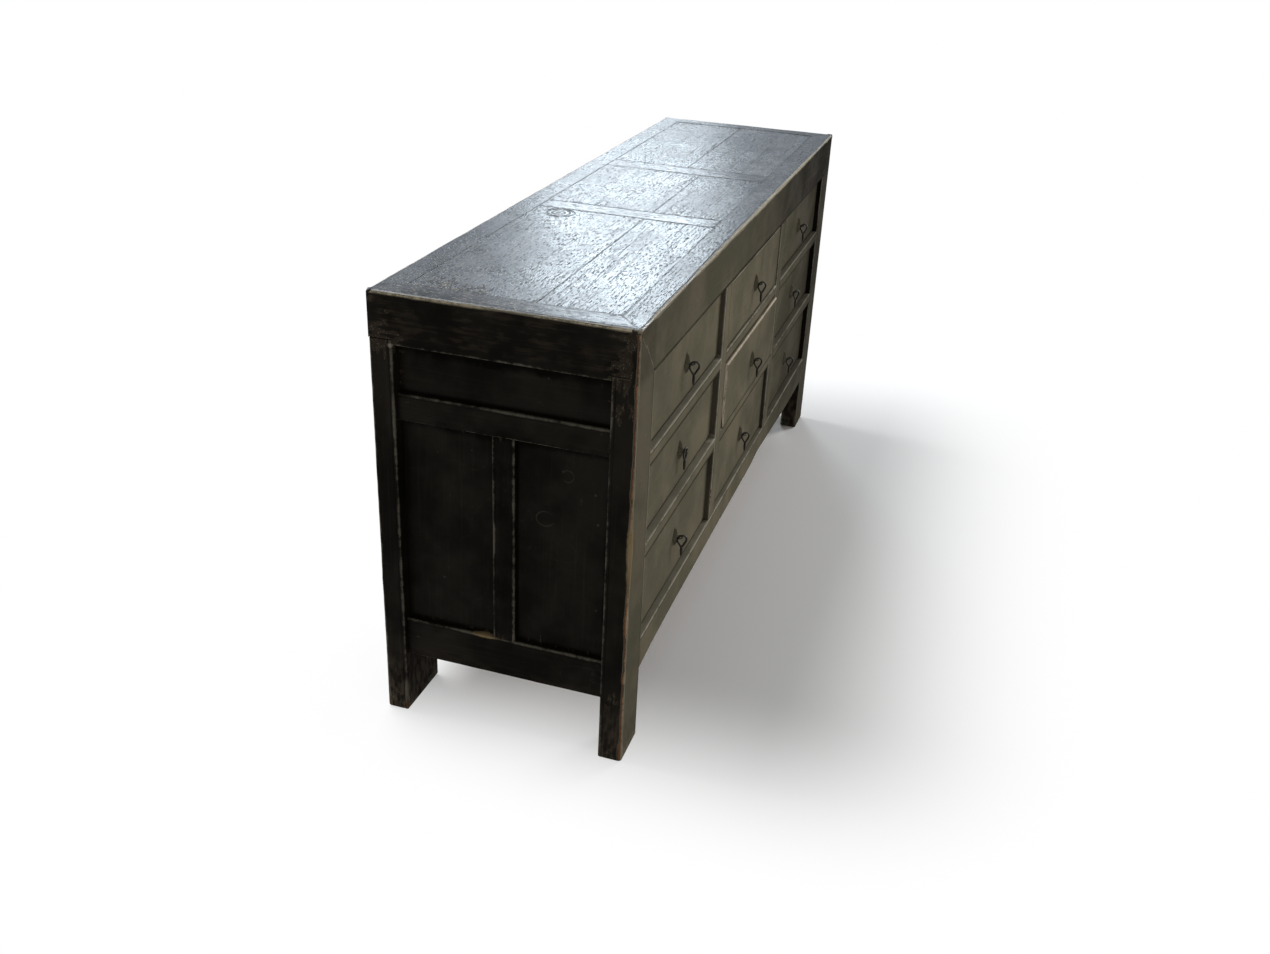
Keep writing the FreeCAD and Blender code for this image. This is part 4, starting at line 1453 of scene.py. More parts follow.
# Seams darken along their lines; the rails' lower front edges and the panels' borders get painted
# shade.
EDGE_SEAM = Edge(0.5 * MM, 0.2 * MM, 0.0, 0.0, 1.0 * MM, grime_and_shade=0.22)
EDGE_UNDER = Edge(1.6 * MM, 0.4 * MM, 0.0, 0.0, 1.0 * MM, grime_and_shade=1.3)
EDGE_PANEL = Edge(0.7 * MM, 0.2 * MM, 0.0, 0.0, 1.0 * MM, grime_and_shade=0.8)
EDGE_BATTEN = Edge(3.2 * MM, 0.5 * MM, 0.0, 0.0, 1.0 * MM, grime_and_shade=0.25)


@dataclass
class Posts(Assembly):
    """The four posts, which are also the legs."""

    seed: int = 100

    def build(self) -> None:
        """Makes the front posts with their mitred heads, and the back posts."""
        s = self.sizes
        mitre = (s.top - s.front_rail) / (s.x_out - s.x_in)
        for end in End:
            side, inner = end.side, end.inner
            x_low, x_high = end.span(s.x_out, s.x_in)
            post = Member(
                (x_low, s.y_front, 0.0), (x_high, s.y_front_in, s.post_top),
                Axis.HEIGHT, self.seed + end.second,
                {
                    ("front", side): EDGE_CASE,
                    ("back", side): EDGE_END,
                    ("front", inner): EDGE_BEAD,
                    ("back", inner): EDGE_SOFT,
                },
                grooves=(Groove(side, "back", 7 * MM), Groove("front", inner, 7 * MM, rub=0.36)),
                stops=lambda at, k=mitre: np.where(
                    at[:, 1] < s.y_front + s.tongue,
                    s.top - (s.x_out - np.abs(at[:, 0])) * k,
                    s.post_top,
                ),
                steps_at={"left": s.y_front + s.tongue, "right": s.y_front + s.tongue},
                across_pitch=5 * MM,
                foot_round=5 * MM,
                soil_reach=22 * MM,
                end_rub=0.5,
            )
            self.shop.piece("post_front_" + side, [post], Slot.LACQUER)
            x_low, x_high = end.span(s.x_out, s.x_back_in)
            rear = Member(
                (x_low, s.y_back_in, 0.0), (x_high, s.y_back, s.post_top),
                Axis.HEIGHT, self.seed + 10 + end.second,
                {
                    ("front", side): EDGE_END,
                    ("back", side): EDGE_BACK,
                    ("front", inner): EDGE_SOFT,
                    ("back", inner): EDGE_SOFT,
                },
                grooves=(Groove(side, "front", 7 * MM),),
                foot_round=5 * MM,
                soil_reach=22 * MM,
            )
            self.shop.piece("post_back_" + side, [rear], Slot.LACQUER)


@dataclass
class TopFrame(Assembly):
    """The mitred rails, the two battens and the six boards of the top."""

    batten_shares: tuple[float, float] = (0.378, 0.647)
    batten_widths: tuple[float, float] = (58 * MM, 65 * MM)
    batten_thickness: float = 32 * MM
    board_thickness: float = 18 * MM
    seam_shares: tuple[float, float, float] = (0.39, 0.39, 0.52)
    sink: float = 0.3 * MM
    seed: int = 200

    def _mitre(self, at: np.ndarray, long_rail: bool) -> np.ndarray:
        """How far in from the case's end a long rail starts, or from its face an end rail."""
        s = self.sizes
        slope = s.end_rail_width / s.front_rail_width
        if long_rail:
            from_face = np.minimum(at[:, 1] - s.y_front, s.y_back - at[:, 1])
            return from_face * slope
        return (s.x_out - np.abs(at[:, 0])) / slope

    def _rails(self) -> None:
        """The four rails of the frame."""
        s = self.sizes
        mitre = (s.x_out - s.x_in) / (s.top - s.front_rail)

        def front_inset(at: np.ndarray) -> np.ndarray:
            inset = self._mitre(at, True)
            face = at[:, 1] < s.y_front + s.tongue
            behind = np.where(at[:, 2] < s.post_top, np.maximum(inset, s.x_out - s.x_in), inset)
            return np.where(face, np.maximum(inset, (s.top - at[:, 2]) * mitre), behind)

        def back_inset(at: np.ndarray) -> np.ndarray:
            inset = self._mitre(at, True)
            return np.where(at[:, 2] < s.post_top, np.maximum(inset, s.x_out - s.x_back_in), inset)

        def end_inset(at: np.ndarray, depth: float, tongue: float) -> np.ndarray:
            inset = self._mitre(at, False)
            inset = np.where(at[:, 2] < s.top - 1 * MM, np.maximum(inset, tongue), inset)
            return np.where(at[:, 2] < s.post_top, np.maximum(inset, depth), inset)

        front = Member(
            (-s.x_out, s.y_front, s.front_rail), (s.x_out, s.y_front + s.front_rail_width, s.top),
            Axis.LENGTH, self.seed,
            {
                ("front", "top"): EDGE_TOP_FRONT,
                ("back", "top"): EDGE_SEAM,
                ("front", "bottom"): EDGE_UNDER,
            },
            grooves=(Groove("front", "bottom", 5.4 * MM, 0.7 * MM, 0.8 * MM, 0.50),),
            end_reach=1.6 * MM,
            end_rub=0.56,
            starts=lambda at: front_inset(at) - s.x_out,
            stops=lambda at: s.x_out - front_inset(at),
            steps_at={"back": s.post_top, "bottom": s.y_front + s.tongue},
            **pitched(4),
        )
        self.shop.piece("top_rail_front", [front], Slot.LACQUER)
        back = Member(
            (-s.x_out, s.y_back - s.front_rail_width, s.front_rail), (s.x_out, s.y_back, s.top),
            Axis.LENGTH, self.seed + 1,
            {("back", "top"): EDGE_BACK, ("front", "top"): EDGE_SEAM},
            starts=lambda at: back_inset(at) - s.x_out,
            stops=lambda at: s.x_out - back_inset(at),
            steps_at={"back": s.post_top, "front": s.post_top},
        )
        self.shop.piece("top_rail_back", [back], Slot.LACQUER)
        for end in End:
            x_low, x_high = end.span(s.x_out, s.x_out - s.end_rail_width)
            rail = Member(
                (x_low, s.y_front, s.end_rail), (x_high, s.y_back, s.top),
                Axis.DEPTH, self.seed + 2 + end.second,
                {
                    (end.side, "top"): EDGE_TOP_RIGHT if end.second else EDGE_TOP_LEFT,
                    (end.inner, "top"): EDGE_SEAM,
                    (end.side, "bottom"): EDGE_END,
                },
                starts=lambda at: s.y_front + end_inset(at, s.y_front_in - s.y_front, s.tongue),
                stops=lambda at: s.y_back - end_inset(at, s.y_back - s.y_back_in, 0.0),
                steps_at={"left": s.post_top, "right": s.post_top},
                **pitched(4),
                soil_reach=30 * MM,
            )
            self.shop.piece("top_rail_" + end.side, [rail], Slot.LACQUER)

    def batten_edges(self, index: int) -> tuple[float, float]:
        """The left and right edge of a batten."""
        inner = self.sizes.x_out - self.sizes.end_rail_width
        centre = -inner + self.batten_shares[index] * 2 * inner
        return centre - self.batten_widths[index] / 2, centre + self.batten_widths[index] / 2

    def build(self) -> None:
        """Makes the rails, the battens and the boards."""
        self._rails()
        s = self.sizes
        front, back = s.y_front + s.front_rail_width, s.y_back - s.front_rail_width
        for index, side in enumerate(("left", "right")):
            left, right = self.batten_edges(index)
            batten = Member(
                (left, front, s.top - self.batten_thickness), (right, back, s.top - self.sink),
                Axis.DEPTH, self.seed + 20 + index,
                plain=EDGE_BATTEN,
                smooth=1.0,
                **pitched(4),
            )
            self.shop.piece("top_batten_" + side, [batten], Slot.TOP)
        inner = s.x_out - s.end_rail_width
        lefts = (-inner, self.batten_edges(0)[1], self.batten_edges(1)[1])
        rights = (self.batten_edges(0)[0], self.batten_edges(1)[0], inner)
        for index, panel in enumerate(("left", "middle", "right")):
            seam = front + self.seam_shares[index] * (back - front)
            boards = []
            for number, (y_low, y_high) in enumerate(((front, seam), (seam, back))):
                boards.append(Member(
                    (lefts[index] + s.seam_gap, y_low + s.seam_gap / 2, s.top - self.board_thickness),
                    (rights[index] - s.seam_gap, y_high - s.seam_gap / 2, s.top - self.sink),
                    Axis.LENGTH, self.seed + 30 + 2 * index + number,
                    plain=EDGE_SEAM,
                    end_rub=0.0,
                    wave=0.7 * MM,
                    **pitched(4),
                ))
            self.shop.piece("top_boards_" + panel, boards, Slot.TOP)


@dataclass
class Ends(Assembly):
    """The rails, muntins and panels of both ends."""

    rail_setback: float = 12 * MM
    panel_setback: float = 24 * MM
    rail_thickness: float = 28 * MM
    panel_thickness: float = 10 * MM
    frieze: float = 91 * MM
    mid_rail: float = 50 * MM
    foot: float = 128 * MM
    bottom_rail: float = 79 * MM
    muntin: float = 42 * MM
    seed: int = 300

    def build(self) -> None:
        """Makes the two rails, the muntin and the three panels of each end."""
        s = self.sizes
        mid_top = s.end_rail - self.frieze
        mid_bottom = mid_top - self.mid_rail
        lower = self.foot + self.bottom_rail
        half = self.muntin / 2
        for end in End:
            side = end.side
            face = s.x_out - self.rail_setback
            x_low, x_high = end.span(face, face - self.rail_thickness)
            rails = [
                Member(
                    (x_low, s.y_front_in, z_low), (x_high, s.y_back_in, z_high),
                    Axis.DEPTH, self.seed + 2 * index + end.second,
                    {(side, "top"): EDGE_END, (side, "bottom"): EDGE_SOFT},
                    grooves=(Groove(side, "top", 5.2 * MM, rub=0.40),),
                    **pitched(5),
                )
                for index, (z_low, z_high) in enumerate(((mid_bottom, mid_top), (self.foot, lower)))
            ]
            rails.append(
                Member(
                    (x_low, s.y_middle - half, lower), (x_high, s.y_middle + half, mid_bottom),
                    Axis.HEIGHT, self.seed + 6 + end.second,
                    {(side, "front"): EDGE_END, (side, "back"): EDGE_END},
                    grooves=(Groove(side, "front", rub=0.3), Groove(side, "back", rub=0.3)),
                    **pitched(5),
                )
            )
            self.shop.piece("end_rails_" + side, rails, Slot.LACQUER)
            face = s.x_out - self.panel_setback
            x_low, x_high = end.span(face, face - self.panel_thickness)
            openings = (
                (s.y_front_in, s.y_back_in, mid_top, s.end_rail, Axis.DEPTH),
                (s.y_front_in, s.y_middle - half, lower, mid_bottom, Axis.HEIGHT),
                (s.y_middle + half, s.y_back_in, lower, mid_bottom, Axis.HEIGHT),
            )
            panels = [
                Member(
                    (x_low, y_low, z_low), (x_high, y_high, z_high),
                    axis, self.seed + 10 + index,
                    plain=EDGE_PANEL,
                    wave=0.8 * MM,
                    wave_pitch=0.12,
                    end_rub=0.0,
                )
                for index, (y_low, y_high, z_low, z_high, axis) in enumerate(openings)
            ]
            self.shop.piece("end_panels_" + side, panels, Slot.LACQUER)


@dataclass
class FrontGrid(Assembly):
    """The dividers, cross rails and apron that frame the drawers."""

    apron_shares: tuple[tuple[float, float], ...] = (
        (0.0, -0.20), (0.04, -0.07), (0.12, 0.0), (0.35, 0.03), (0.58, 0.02), (0.63, 0.16),
        (0.70, 0.04), (0.81, -0.14), (0.86, -0.22), (0.93, -0.25), (1.0, -0.24),
    )
    seed: int = 400

    def build(self) -> None:
        """Makes the two dividers, the six cross rails and the apron."""
        s = self.sizes
        half = s.divider_width / 2
        uprights = [
            Member(
                (centre - half, s.y_front + 0.2 * MM, s.apron_top),
                (centre + half, s.y_front_in, s.front_rail),
                Axis.HEIGHT, self.seed + index,
                {("front", "left"): EDGE_BEAD, ("front", "right"): EDGE_BEAD},
                grooves=(Groove("front", "left", rub=0.36), Groove("front", "right", rub=0.36)),
                # The dividers' side faces take part of the lit colour: painted light.
                side_light=0.55,
                **pitched(5),
            )
            for index, centre in enumerate(s.dividers)
        ]
        self.shop.piece("front_dividers", uprights, Slot.LACQUER)
        rails = []
        for row, column in itertools.product(("top", "middle"), s.column_span):
            left, right = s.column_span[column]
            top = s.row_span[row][0]
            rails.append(
                Member(
                    (left, s.y_front + 0.3 * MM, top - s.rail_height), (right, s.y_front_in, top),
                    Axis.LENGTH, self.seed + 10 + len(rails),
                    {("front", "top"): EDGE_BEAD, ("front", "bottom"): EDGE_UNDER},
                    grooves=(
                        Groove("front", "top", 4.6 * MM, rub=0.50),
                        Groove("front", "bottom", 5.4 * MM, 0.7 * MM, 0.8 * MM, 0.50),
                    ),
                    # The rails' upper faces get dust, also painted light from above.
                    ledge_dust_and_light=0.62,
                    **pitched(5),
                )
            )
        self.shop.piece("front_cross_rails", rails, Slot.LACQUER)
        self._apron()

    def _apron(self) -> None:
        """The apron: its lower side is drawn down or up along a smooth curve."""
        s = self.sizes
        shares = np.array(self.apron_shares)
        deepest = -shares[:, 1].min() * s.apron_height
        fine = np.linspace(0, 1, 200)
        curve = np.interp(fine, shares[:, 0], shares[:, 1])
        kernel = np.hanning(13) / np.hanning(13).sum()
        padded = np.pad(curve, 6, mode="edge")
        curve = np.convolve(padded, kernel, "valid")
        shell = Member(
            (-s.x_in, s.y_front + 0.2 * MM, s.apron_bottom - deepest),
            (s.x_in, s.y_front_in, s.apron_top),
            Axis.LENGTH, self.seed + 30,
            {("front", "top"): EDGE_BEAD, ("front", "bottom"): EDGE_SOFT},
            grooves=(Groove("front", "top"),),
            # The apron's upper face gets dust, also painted light from above.
            ledge_dust_and_light=0.5,
            across_pitch=5 * MM,
        ).shell()
        across = (shell.points[:, 0] + s.x_in) / (2 * s.x_in)
        wanted = s.apron_bottom + np.interp(across, fine, curve) * s.apron_height
        lowest = s.apron_bottom - deepest
        share = np.clip((s.apron_top - shell.points[:, 2]) / (s.apron_top - lowest), 0, 1)
        bead = 0.2
        weight = np.clip((share - bead) / (1 - bead), 0, 1)
        shell.points[:, 2] += weight * (wanted - lowest)
        self.shop.piece("front_apron", [shell], Slot.LACQUER)


@dataclass
class Back(Assembly):
    """The bottom rail, the stiles and the panels of the back."""

    stile: float = 90 * MM
    rail: float = 60 * MM
    drop: float = 12 * MM
    setback: float = 12 * MM
    thickness: float = 10 * MM
    seed: int = 500

    def build(self) -> None:
        """Makes the rail, the stiles and the three panels."""
        s = self.sizes
        z_high = s.apron_top - self.drop
        half = self.stile / 2
        parts = [
            Member(
                (-s.x_back_in, s.y_back_in, z_high - self.rail), (s.x_back_in, s.y_back, z_high),
                Axis.LENGTH, self.seed,
                plain=EDGE_SOFT,
            )
        ]
        edges = [-s.x_back_in]
        for index, centre in enumerate(s.dividers):
            edges += [centre - half, centre + half]
            parts.append(
                Member(
                    (centre - half, s.y_back_in, z_high), (centre + half, s.y_back, s.front_rail),
                    Axis.HEIGHT, self.seed + 1 + index,
                    plain=EDGE_SOFT,
                )
            )
        edges.append(s.x_back_in)
        self.shop.piece("back_rails", parts, Slot.BACK)
        face = s.y_back - self.setback
        panels = [
            Member(
                (left, face - self.thickness, z_high), (right, face, s.front_rail),
                Axis.HEIGHT, self.seed + 10 + index,
                plain=EDGE_SHARP,
                wave=1.0 * MM,
                **pitched(9),
            )
            for index, (left, right) in enumerate(zip(edges[::2], edges[1::2]))
        ]
        self.shop.piece("back_panels", panels, Slot.BACK)


@dataclass
class Carriers(Assembly):
    """The runners that the drawers slide on and the guides that keep them straight."""

    runner: float = 20 * MM
    reach: float = 18 * MM
    guide: float = 14 * MM
    seed: int = 600

    def build(self) -> None:
        """Makes twelve runners and twelve guides."""
        s = self.sizes
        half = s.divider_width / 2
        stations = [(-s.x_in - half, -s.x_in, 0.0, self.reach)]
        stations += [(c - half, c + half, self.reach, self.reach) for c in s.dividers]
        stations += [(s.x_in, s.x_in + half, self.reach, 0.0)]
        runners, guides = [], []
        for row, (left, right, more_left, more_right) in itertools.product(s.row_span, stations):
            floor = s.row_span[row][0]
            seed = self.seed + 2 * len(runners)
            coarse = {"along_pitch": 14 * MM, "across_pitch": 12 * MM, "wave": 0.1 * MM}
            runners.append(
                Member(
                    (left - more_left, s.y_front_in, floor - self.runner),
                    (right + more_right, s.y_back_in, floor),
                    Axis.DEPTH, seed, **coarse,
                )
            )
            guides.append(
                Member(
                    (left, s.y_front_in, floor), (right, s.y_back_in, floor + self.guide),
                    Axis.DEPTH, seed + 1, **coarse,
                )
            )
        self.shop.piece("drawer_runners", runners, Slot.INNER)
        self.shop.piece("drawer_guides", guides, Slot.INNER)


@dataclass
class DrawerAssembly:
    """What belongs to one drawer, which its row and column name."""

    shop: Workshop
    row: str
    column: str

    @property
    def body(self) -> str:
        """The body that the drawer rides on."""
        return "drawer_" + self.row + "_" + self.column


@dataclass
class Drawer(DrawerAssembly):
    """One drawer: its front and its box of four boards."""

    seed: int
    proud: bool = False
    wall: float = 10 * MM
    floor_thickness: float = 8 * MM
    floor_lift: float = 6 * MM
    groove: float = 4 * MM

    TOP_EDGE = Edge(1.6 * MM, 0.5 * MM, 0.6 * MM, 0.56, 2.0 * MM)
    TOP_EDGE_PROUD = Edge(2.4 * MM, 0.7 * MM, 1.0 * MM, 1.70, 2.5 * MM, 0.35, 0.8)
    # The lower edge carries a painted shadow line along the bottom of the drawer front.
    LOWER_EDGE = Edge(1.8 * MM, 0.3 * MM, 0.0, 0.0, 1.5 * MM, grime_and_shade=1.5)

    def build(self) -> None:
        """Makes the front and the box."""
        low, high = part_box(self.body + "_front")
        front = Member(
            tuple(low),
            tuple(high),
            Axis.LENGTH, self.seed,
            {
                ("front", "top"): self.TOP_EDGE_PROUD if self.proud else self.TOP_EDGE,
                ("front", "bottom"): self.LOWER_EDGE,
            },
            wave=0.6 * MM,
            across_pitch=5 * MM,
            end_round=1.4 * MM,
            end_rub=1.25 if self.proud else 0.42,
            end_reach=1.6 * MM,
        )
        self.shop.piece(self.body + "_front", [front], Slot.DRAWER, self.body)
        low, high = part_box(self.body + "_box")
        coarse = {"along_pitch": 12 * MM, "across_pitch": 10 * MM, "wave": 0.3 * MM}
        y_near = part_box(self.body + "_front")[1].y
        inner_left, inner_right = low.x + self.wall, high.x - self.wall
        floor = low.z + self.floor_lift
        boards = [
            Member(
                (left, y_near, low.z), (right, high.y, high.z),
                Axis.DEPTH, self.seed + 1 + index, **coarse,
            )
            for index, (left, right) in enumerate(((low.x, inner_left), (inner_right, high.x)))
        ]
        boards += [
            Member(
                (inner_left, high.y - self.wall, low.z), (inner_right, high.y, high.z),
                Axis.LENGTH, self.seed + 3, **coarse,
            ),
            Member(
                (inner_left - self.groove, y_near, floor),
                (inner_right + self.groove, high.y - self.groove, floor + self.floor_thickness),
                Axis.LENGTH, self.seed + 4, **coarse,
            ),
        ]
        self.shop.piece(self.body + "_box", boards, Slot.INNER, self.body)


@dataclass
class Pull(DrawerAssembly):
    """The iron of one drawer: lozenge plate, split pin with a flat eye, and pear-shaped drop."""

    hinge: dict
    half_height: float = 21 * MM
    half_width: float = 15 * MM
    rim: float = 1.2 * MM
    crown: float = 7.2 * MM
    pin: float = 1.2 * MM
    eye: float = 6.0 * MM
    reach: float = 10 * MM
    neck: float = 1.6 * MM
    leg: float = 13 * MM
    leg_thickness: float = 1.6 * MM
    wire: float = 1.9 * MM
    thick: float = 2.1 * MM
    loop: float = 9.2 * MM
    gap: float = 0.3 * MM
    throat: float = 27 * MM

    def _plate(self, centre: np.ndarray) -> Shell:
        """The lozenge plate.

        Rings of one lozenge outline, from the back's edge round the rim and up to the crown:
        the share of the outline falls as the height rises along a quarter wave.
        """
        around = 48
        angle = np.linspace(0, 2 * math.pi, around, endpoint=False)
        across, tall = np.cos(angle), np.sin(angle)
        stretch = 1 / (np.abs(across) + np.abs(tall)) ** 0.94
        outline = np.stack([across * stretch * self.half_width, tall * stretch * self.half_height], -1)
        limit = np.array([self.half_width, self.half_height])
        outline = np.clip(outline, -limit, limit)
        share = np.array([0.97, 1.0, 1.0, 0.985, 0.95, 0.86, 0.72, 0.56, 0.40, 0.24, 0.02])
        rise = np.array([0, 0, 0, 0, 0.05, 0.24, 0.52, 0.76, 0.91, 0.98, 1.0]) * (self.crown - self.rim)
        height = np.array([0, 0.15, 0.7, 0.93, 1, 1, 1, 1, 1, 1, 1]) * self.rim + rise
        points = np.zeros((len(share), around, 3))
        points[..., 0] = centre[0] + share[:, None] * outline[:, 0]
        points[..., 1] = centre[1] - height[:, None]
        points[..., 2] = centre[2] + share[:, None] * outline[:, 1]
        hammered = lattice_noise(points, 5 * MM, 5)
        points[..., 1] += 0.35 * MM * hammered * (share[:, None] < 0.97)
        rub = np.interp(share, [0, 0.5, 0.9, 1.0], [0.75, 0.55, 0.45, 0.7])[:, None]
        # A paler line down the plate's middle and a paler right half: rubbed iron and painted
        # highlight.
        rub_and_painted_highlight = 0.30 * np.exp(-((across / 0.16) ** 2)) + 0.20 * np.clip(across, 0, 1)
        return Shell.gridded(points, False, rub=rub + rub_and_painted_highlight)

    def build(self) -> None:
        """Makes the plate with its pin, and the drop."""
        plate_low, plate_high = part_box(self.body + "_plate")
        front_low, front_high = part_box(self.body + "_front")
        centre = np.array(
            [(plate_low.x + plate_high.x) / 2, front_low.y, (plate_low.z + plate_high.z) / 2]
        )
        self.shop.piece(self.body + "_plate", [self._plate(centre)], Slot.PLATE, self.body)
        out = np.array([0.0, -1.0, 0.0])
        eye_centre = centre + out * self.reach
        turn = np.linspace(0, 2 * math.pi, 48, endpoint=False)
        ring = np.stack([np.sin(turn), np.cos(turn), 0 * turn], -1) * self.eye + eye_centre
        eye = tube(ring, np.array([0.0, 0.0, 1.0]), np.full(48, self.pin), True)
        behind = front_high.y + self.leg_thickness
        root = eye_centre[1] + self.eye
        distance = np.array([0, 0.3, 0.5, 1.0]) * (behind - root)
        radius = np.array([0.8, 1.0, 1.0, 1.0]) * self.neck
        neck = revolved(np.stack([distance, radius], -1), eye_centre - out * self.eye, -out)
        legs = Member(
            (centre[0] - self.leg, front_high.y, centre[2] - 1.4 * MM),
            (centre[0] + self.leg, behind, centre[2] + 1.4 * MM),
            Axis.LENGTH, 5, plain=Edge(0.5 * MM, 0.1 * MM), wave=0.05 * MM,
            along_pitch=2 * MM, across_pitch=1 * MM, end_round=0.3 * MM,
        )
        self.shop.piece(self.body + "_pin", [eye, neck, legs], Slot.DROP, self.body, replaces=False)
        self._drop()

    def _drop(self) -> None:
        """The drop: a closed pear-shaped loop of wire whose throat runs into a turned tail."""
        pivot = np.array(self.hinge["pos_m"])
        swing = np.array(self.hinge["axis"], float)
        swing /= np.linalg.norm(swing)
        down = np.array([0.0, 0.0, -1.0])
        across = np.cross(down, swing)
        top = self.pin + self.wire + self.gap
        depth = self.throat - self.loop
        spread = math.acos(self.loop / depth)
        arc = np.linspace(spread, 2 * math.pi - spread, 44)
        around = np.stack([np.sin(arc), np.cos(arc)], -1) * self.loop
        share = np.linspace(0, 1, 14)[1:-1, None]
        tip = np.array([0.0, depth])
        leg = around[-1] * (1 - share) + tip * share
        leg_back = tip * (1 - share) + around[0] * share
        flat = np.concatenate([around, leg, leg_back])
        flat[:, 1] = np.minimum(flat[:, 1], depth - 1.2 * MM)
        centre = pivot - down * (top - self.loop)
        path = centre + flat[:, :1] * across + flat[:, 1:] * down
        below = np.clip((flat[:, 1] + self.loop) / self.loop, 0, 1)
        loop = tube(path, swing, self.wire + (self.thick - self.wire) * below, True)
        stops = np.array([23.0, 25.0, 27.5, 30.0, 33.0, 36.5, 40.0, 43.0, 45.2, 46.4, 47.0]) * MM
        girth = np.array([1.4, 2.4, 2.7, 2.8, 2.9, 2.8, 2.5, 2.15, 1.75, 1.05, 0.05]) * MM
        tail = revolved(np.stack([stops - top, girth], -1), pivot, down)
        drop = "drop_" + self.row + "_" + self.column
        self.shop.piece(self.body + "_drop", [loop, tail], Slot.DROP, drop)


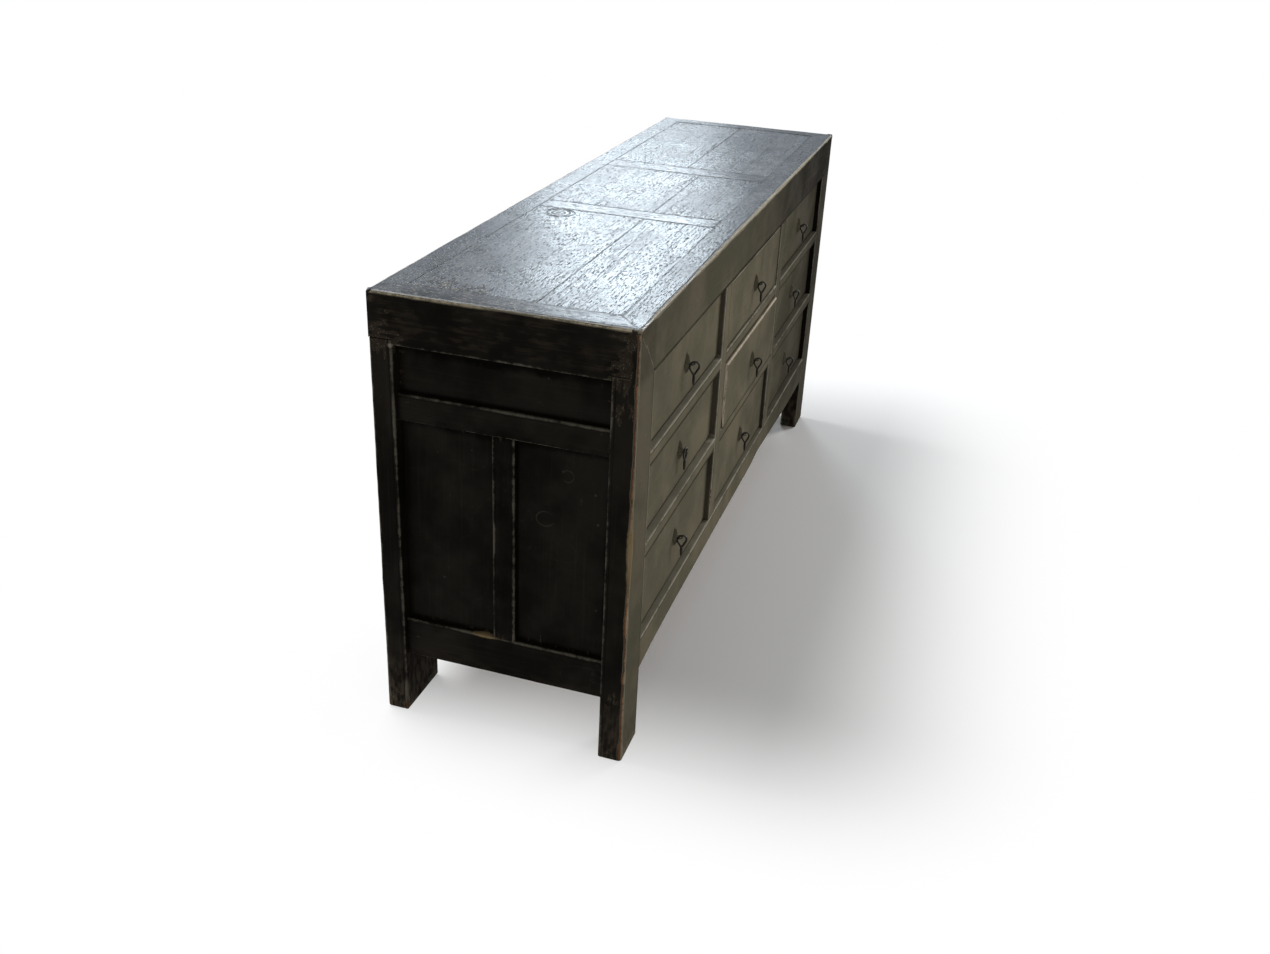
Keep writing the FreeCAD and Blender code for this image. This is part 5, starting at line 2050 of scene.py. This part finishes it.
@dataclass
class Studio:
    """The floor, the world, the lamps and the camera."""

    eye: Corner = (-2.6068, -0.7494, 1.5030)
    turn_degrees: Corner = (63.430, -2.500, -72.027)
    lens: float = 35.0
    sensor: float = 36.0
    floor_size: float = 40.0
    ambient: float = 0.33
    sky: Colour = (0.80, 0.90, 1.0)
    mirrored: float = 0.76

    def build(self) -> None:
        """Sets the world, the floor, the lamps, the camera and the view's colours."""
        self._world()
        self._floor()
        white, daylight = (1.0, 1.0, 1.0), (0.83, 0.93, 1.0)
        self._lamp("key", (0.1, 1.5, 3.3), (0.0, -0.1, 0.3), (2.4, 2.0), 120.0, white)
        self._lamp("window", (3.6, 1.24, 2.33), (0.0, 0.05, 0.85), (0.95, 1.5), 34.0, daylight)
        self._lamp("side", (6.2, -4.4, 2.2), (0.0, -0.2, 0.5), (2.4, 2.4), 370.0, white)
        camera = bpy.data.cameras.new("camera")
        camera.lens = self.lens
        camera.sensor_width = self.sensor
        camera.clip_end = 100.0
        holder = bpy.data.objects.new("camera", camera)
        holder.location = self.eye
        holder.rotation_euler = Euler([math.radians(angle) for angle in self.turn_degrees])
        bpy.context.scene.collection.objects.link(holder)
        bpy.context.scene.camera = holder
        bpy.context.scene.view_settings.view_transform = "Standard"

    def _lamp(
        self,
        name: str,
        place: Corner,
        target: Corner,
        size: tuple[float, float],
        watts: float,
        colour: Colour,
    ) -> None:
        """A soft rectangular lamp that faces a target."""
        lamp = bpy.data.lights.new(name, "AREA")
        lamp.shape = "RECTANGLE"
        lamp.size, lamp.size_y = size
        lamp.energy = watts
        lamp.color = colour
        holder = bpy.data.objects.new(name, lamp)
        holder.location = place
        holder.rotation_euler = (Vector(target) - Vector(place)).to_track_quat("-Z", "Y").to_euler()
        bpy.context.scene.collection.objects.link(holder)

    def _world(self) -> None:
        """A white room for the eye and for reflections, and a softer one for light."""
        world = bpy.data.worlds.new("room")
        world.use_nodes = True
        bpy.context.scene.world = world
        tree = world.node_tree
        tree.nodes.clear()
        output = tree.nodes.new("ShaderNodeOutputWorld")
        room = tree.nodes.new("ShaderNodeBackground")
        path = tree.nodes.new("ShaderNodeLightPath")
        colours = {
            "Is Glossy Ray": tuple(self.mirrored * part for part in self.sky),
            "Is Transmission Ray": (1.0, 1.0, 1.0),
            "Is Camera Ray": (1.0, 1.0, 1.0),
        }
        previous = None
        for name, colour in colours.items():
            mix = tree.nodes.new("ShaderNodeMix")
            mix.data_type = "RGBA"
            first, second = [socket for socket in mix.inputs if socket.type == "RGBA"]
            first.default_value = (self.ambient, self.ambient, self.ambient, 1.0)
            second.default_value = (*colour, 1.0)
            tree.links.new(path.outputs[name], mix.inputs["Factor"])
            if previous is not None:
                tree.links.new(previous, first)
            previous = next(socket for socket in mix.outputs if socket.type == "RGBA")
        tree.links.new(previous, room.inputs["Color"])
        room.inputs["Strength"].default_value = 1.0
        tree.links.new(room.outputs[0], output.inputs["Surface"])

    def _floor(self) -> None:
        """A pale floor that takes the shadow near the chest and fades to white further out."""
        half = self.floor_size / 2
        mesh = bpy.data.meshes.new("floor")
        corners = [(-half, -half, 0), (half, -half, 0), (half, half, 0), (-half, half, 0)]
        mesh.from_pydata(corners, [], [(0, 1, 2, 3)])
        floor = bpy.data.objects.new("floor", mesh)
        bpy.context.scene.collection.objects.link(floor)
        graph = Graph("floor")
        x, y, _ = graph.parts(graph.place())
        beside = (abs(x - 0.25) - 0.79).larger(0.0)
        before = (abs(y + 0.18) - 0.34).larger(0.0)
        fade = graph.length(graph.vector(beside, before, 0.0)).ramp(0.0, 0.55)
        graph.dress(Base_Color=(0.90, 0.90, 0.90), Roughness=0.9, Specular_IOR_Level=0.1)
        glow = graph.node("ShaderNodeEmission", values={"Color": (1.0, 1.0, 1.0)})
        path = graph.node("ShaderNodeLightPath")
        seen = Signal(graph, path.outputs["Is Camera Ray"]).larger(
            Signal(graph, path.outputs["Is Glossy Ray"])
        )
        mix = graph.node("ShaderNodeMixShader", values={0: fade * seen})
        graph.tree.links.new(graph.shader.outputs[0], mix.inputs[1])
        graph.tree.links.new(glow.outputs[0], mix.inputs[2])
        graph.tree.links.new(mix.outputs[0], graph.output.inputs["Surface"])
        mesh.materials.append(graph.material)


def main() -> None:
    """Builds the studio and the chest, piece by piece, and notes the model's size."""
    logging.basicConfig(level=logging.INFO, format="%(message)s")
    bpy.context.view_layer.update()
    Studio().build()
    shop = Workshop()
    sizes = CaseSizes()
    for part in (Posts, TopFrame, Ends, FrontGrid, Back, Carriers):
        part(shop, sizes).build()
    hinges = {joint["child"]: joint for joint in frame["joints"]}
    for index, (row, column) in enumerate(itertools.product(sizes.row_span, sizes.column_span)):
        proud = (row, column) == ("middle", "centre")
        Drawer(shop, row, column, 700 + 10 * index, proud).build()
        Pull(shop, row, column, hinges["drop_" + row + "_" + column]).build()


if __name__ == "__main__":
    main()
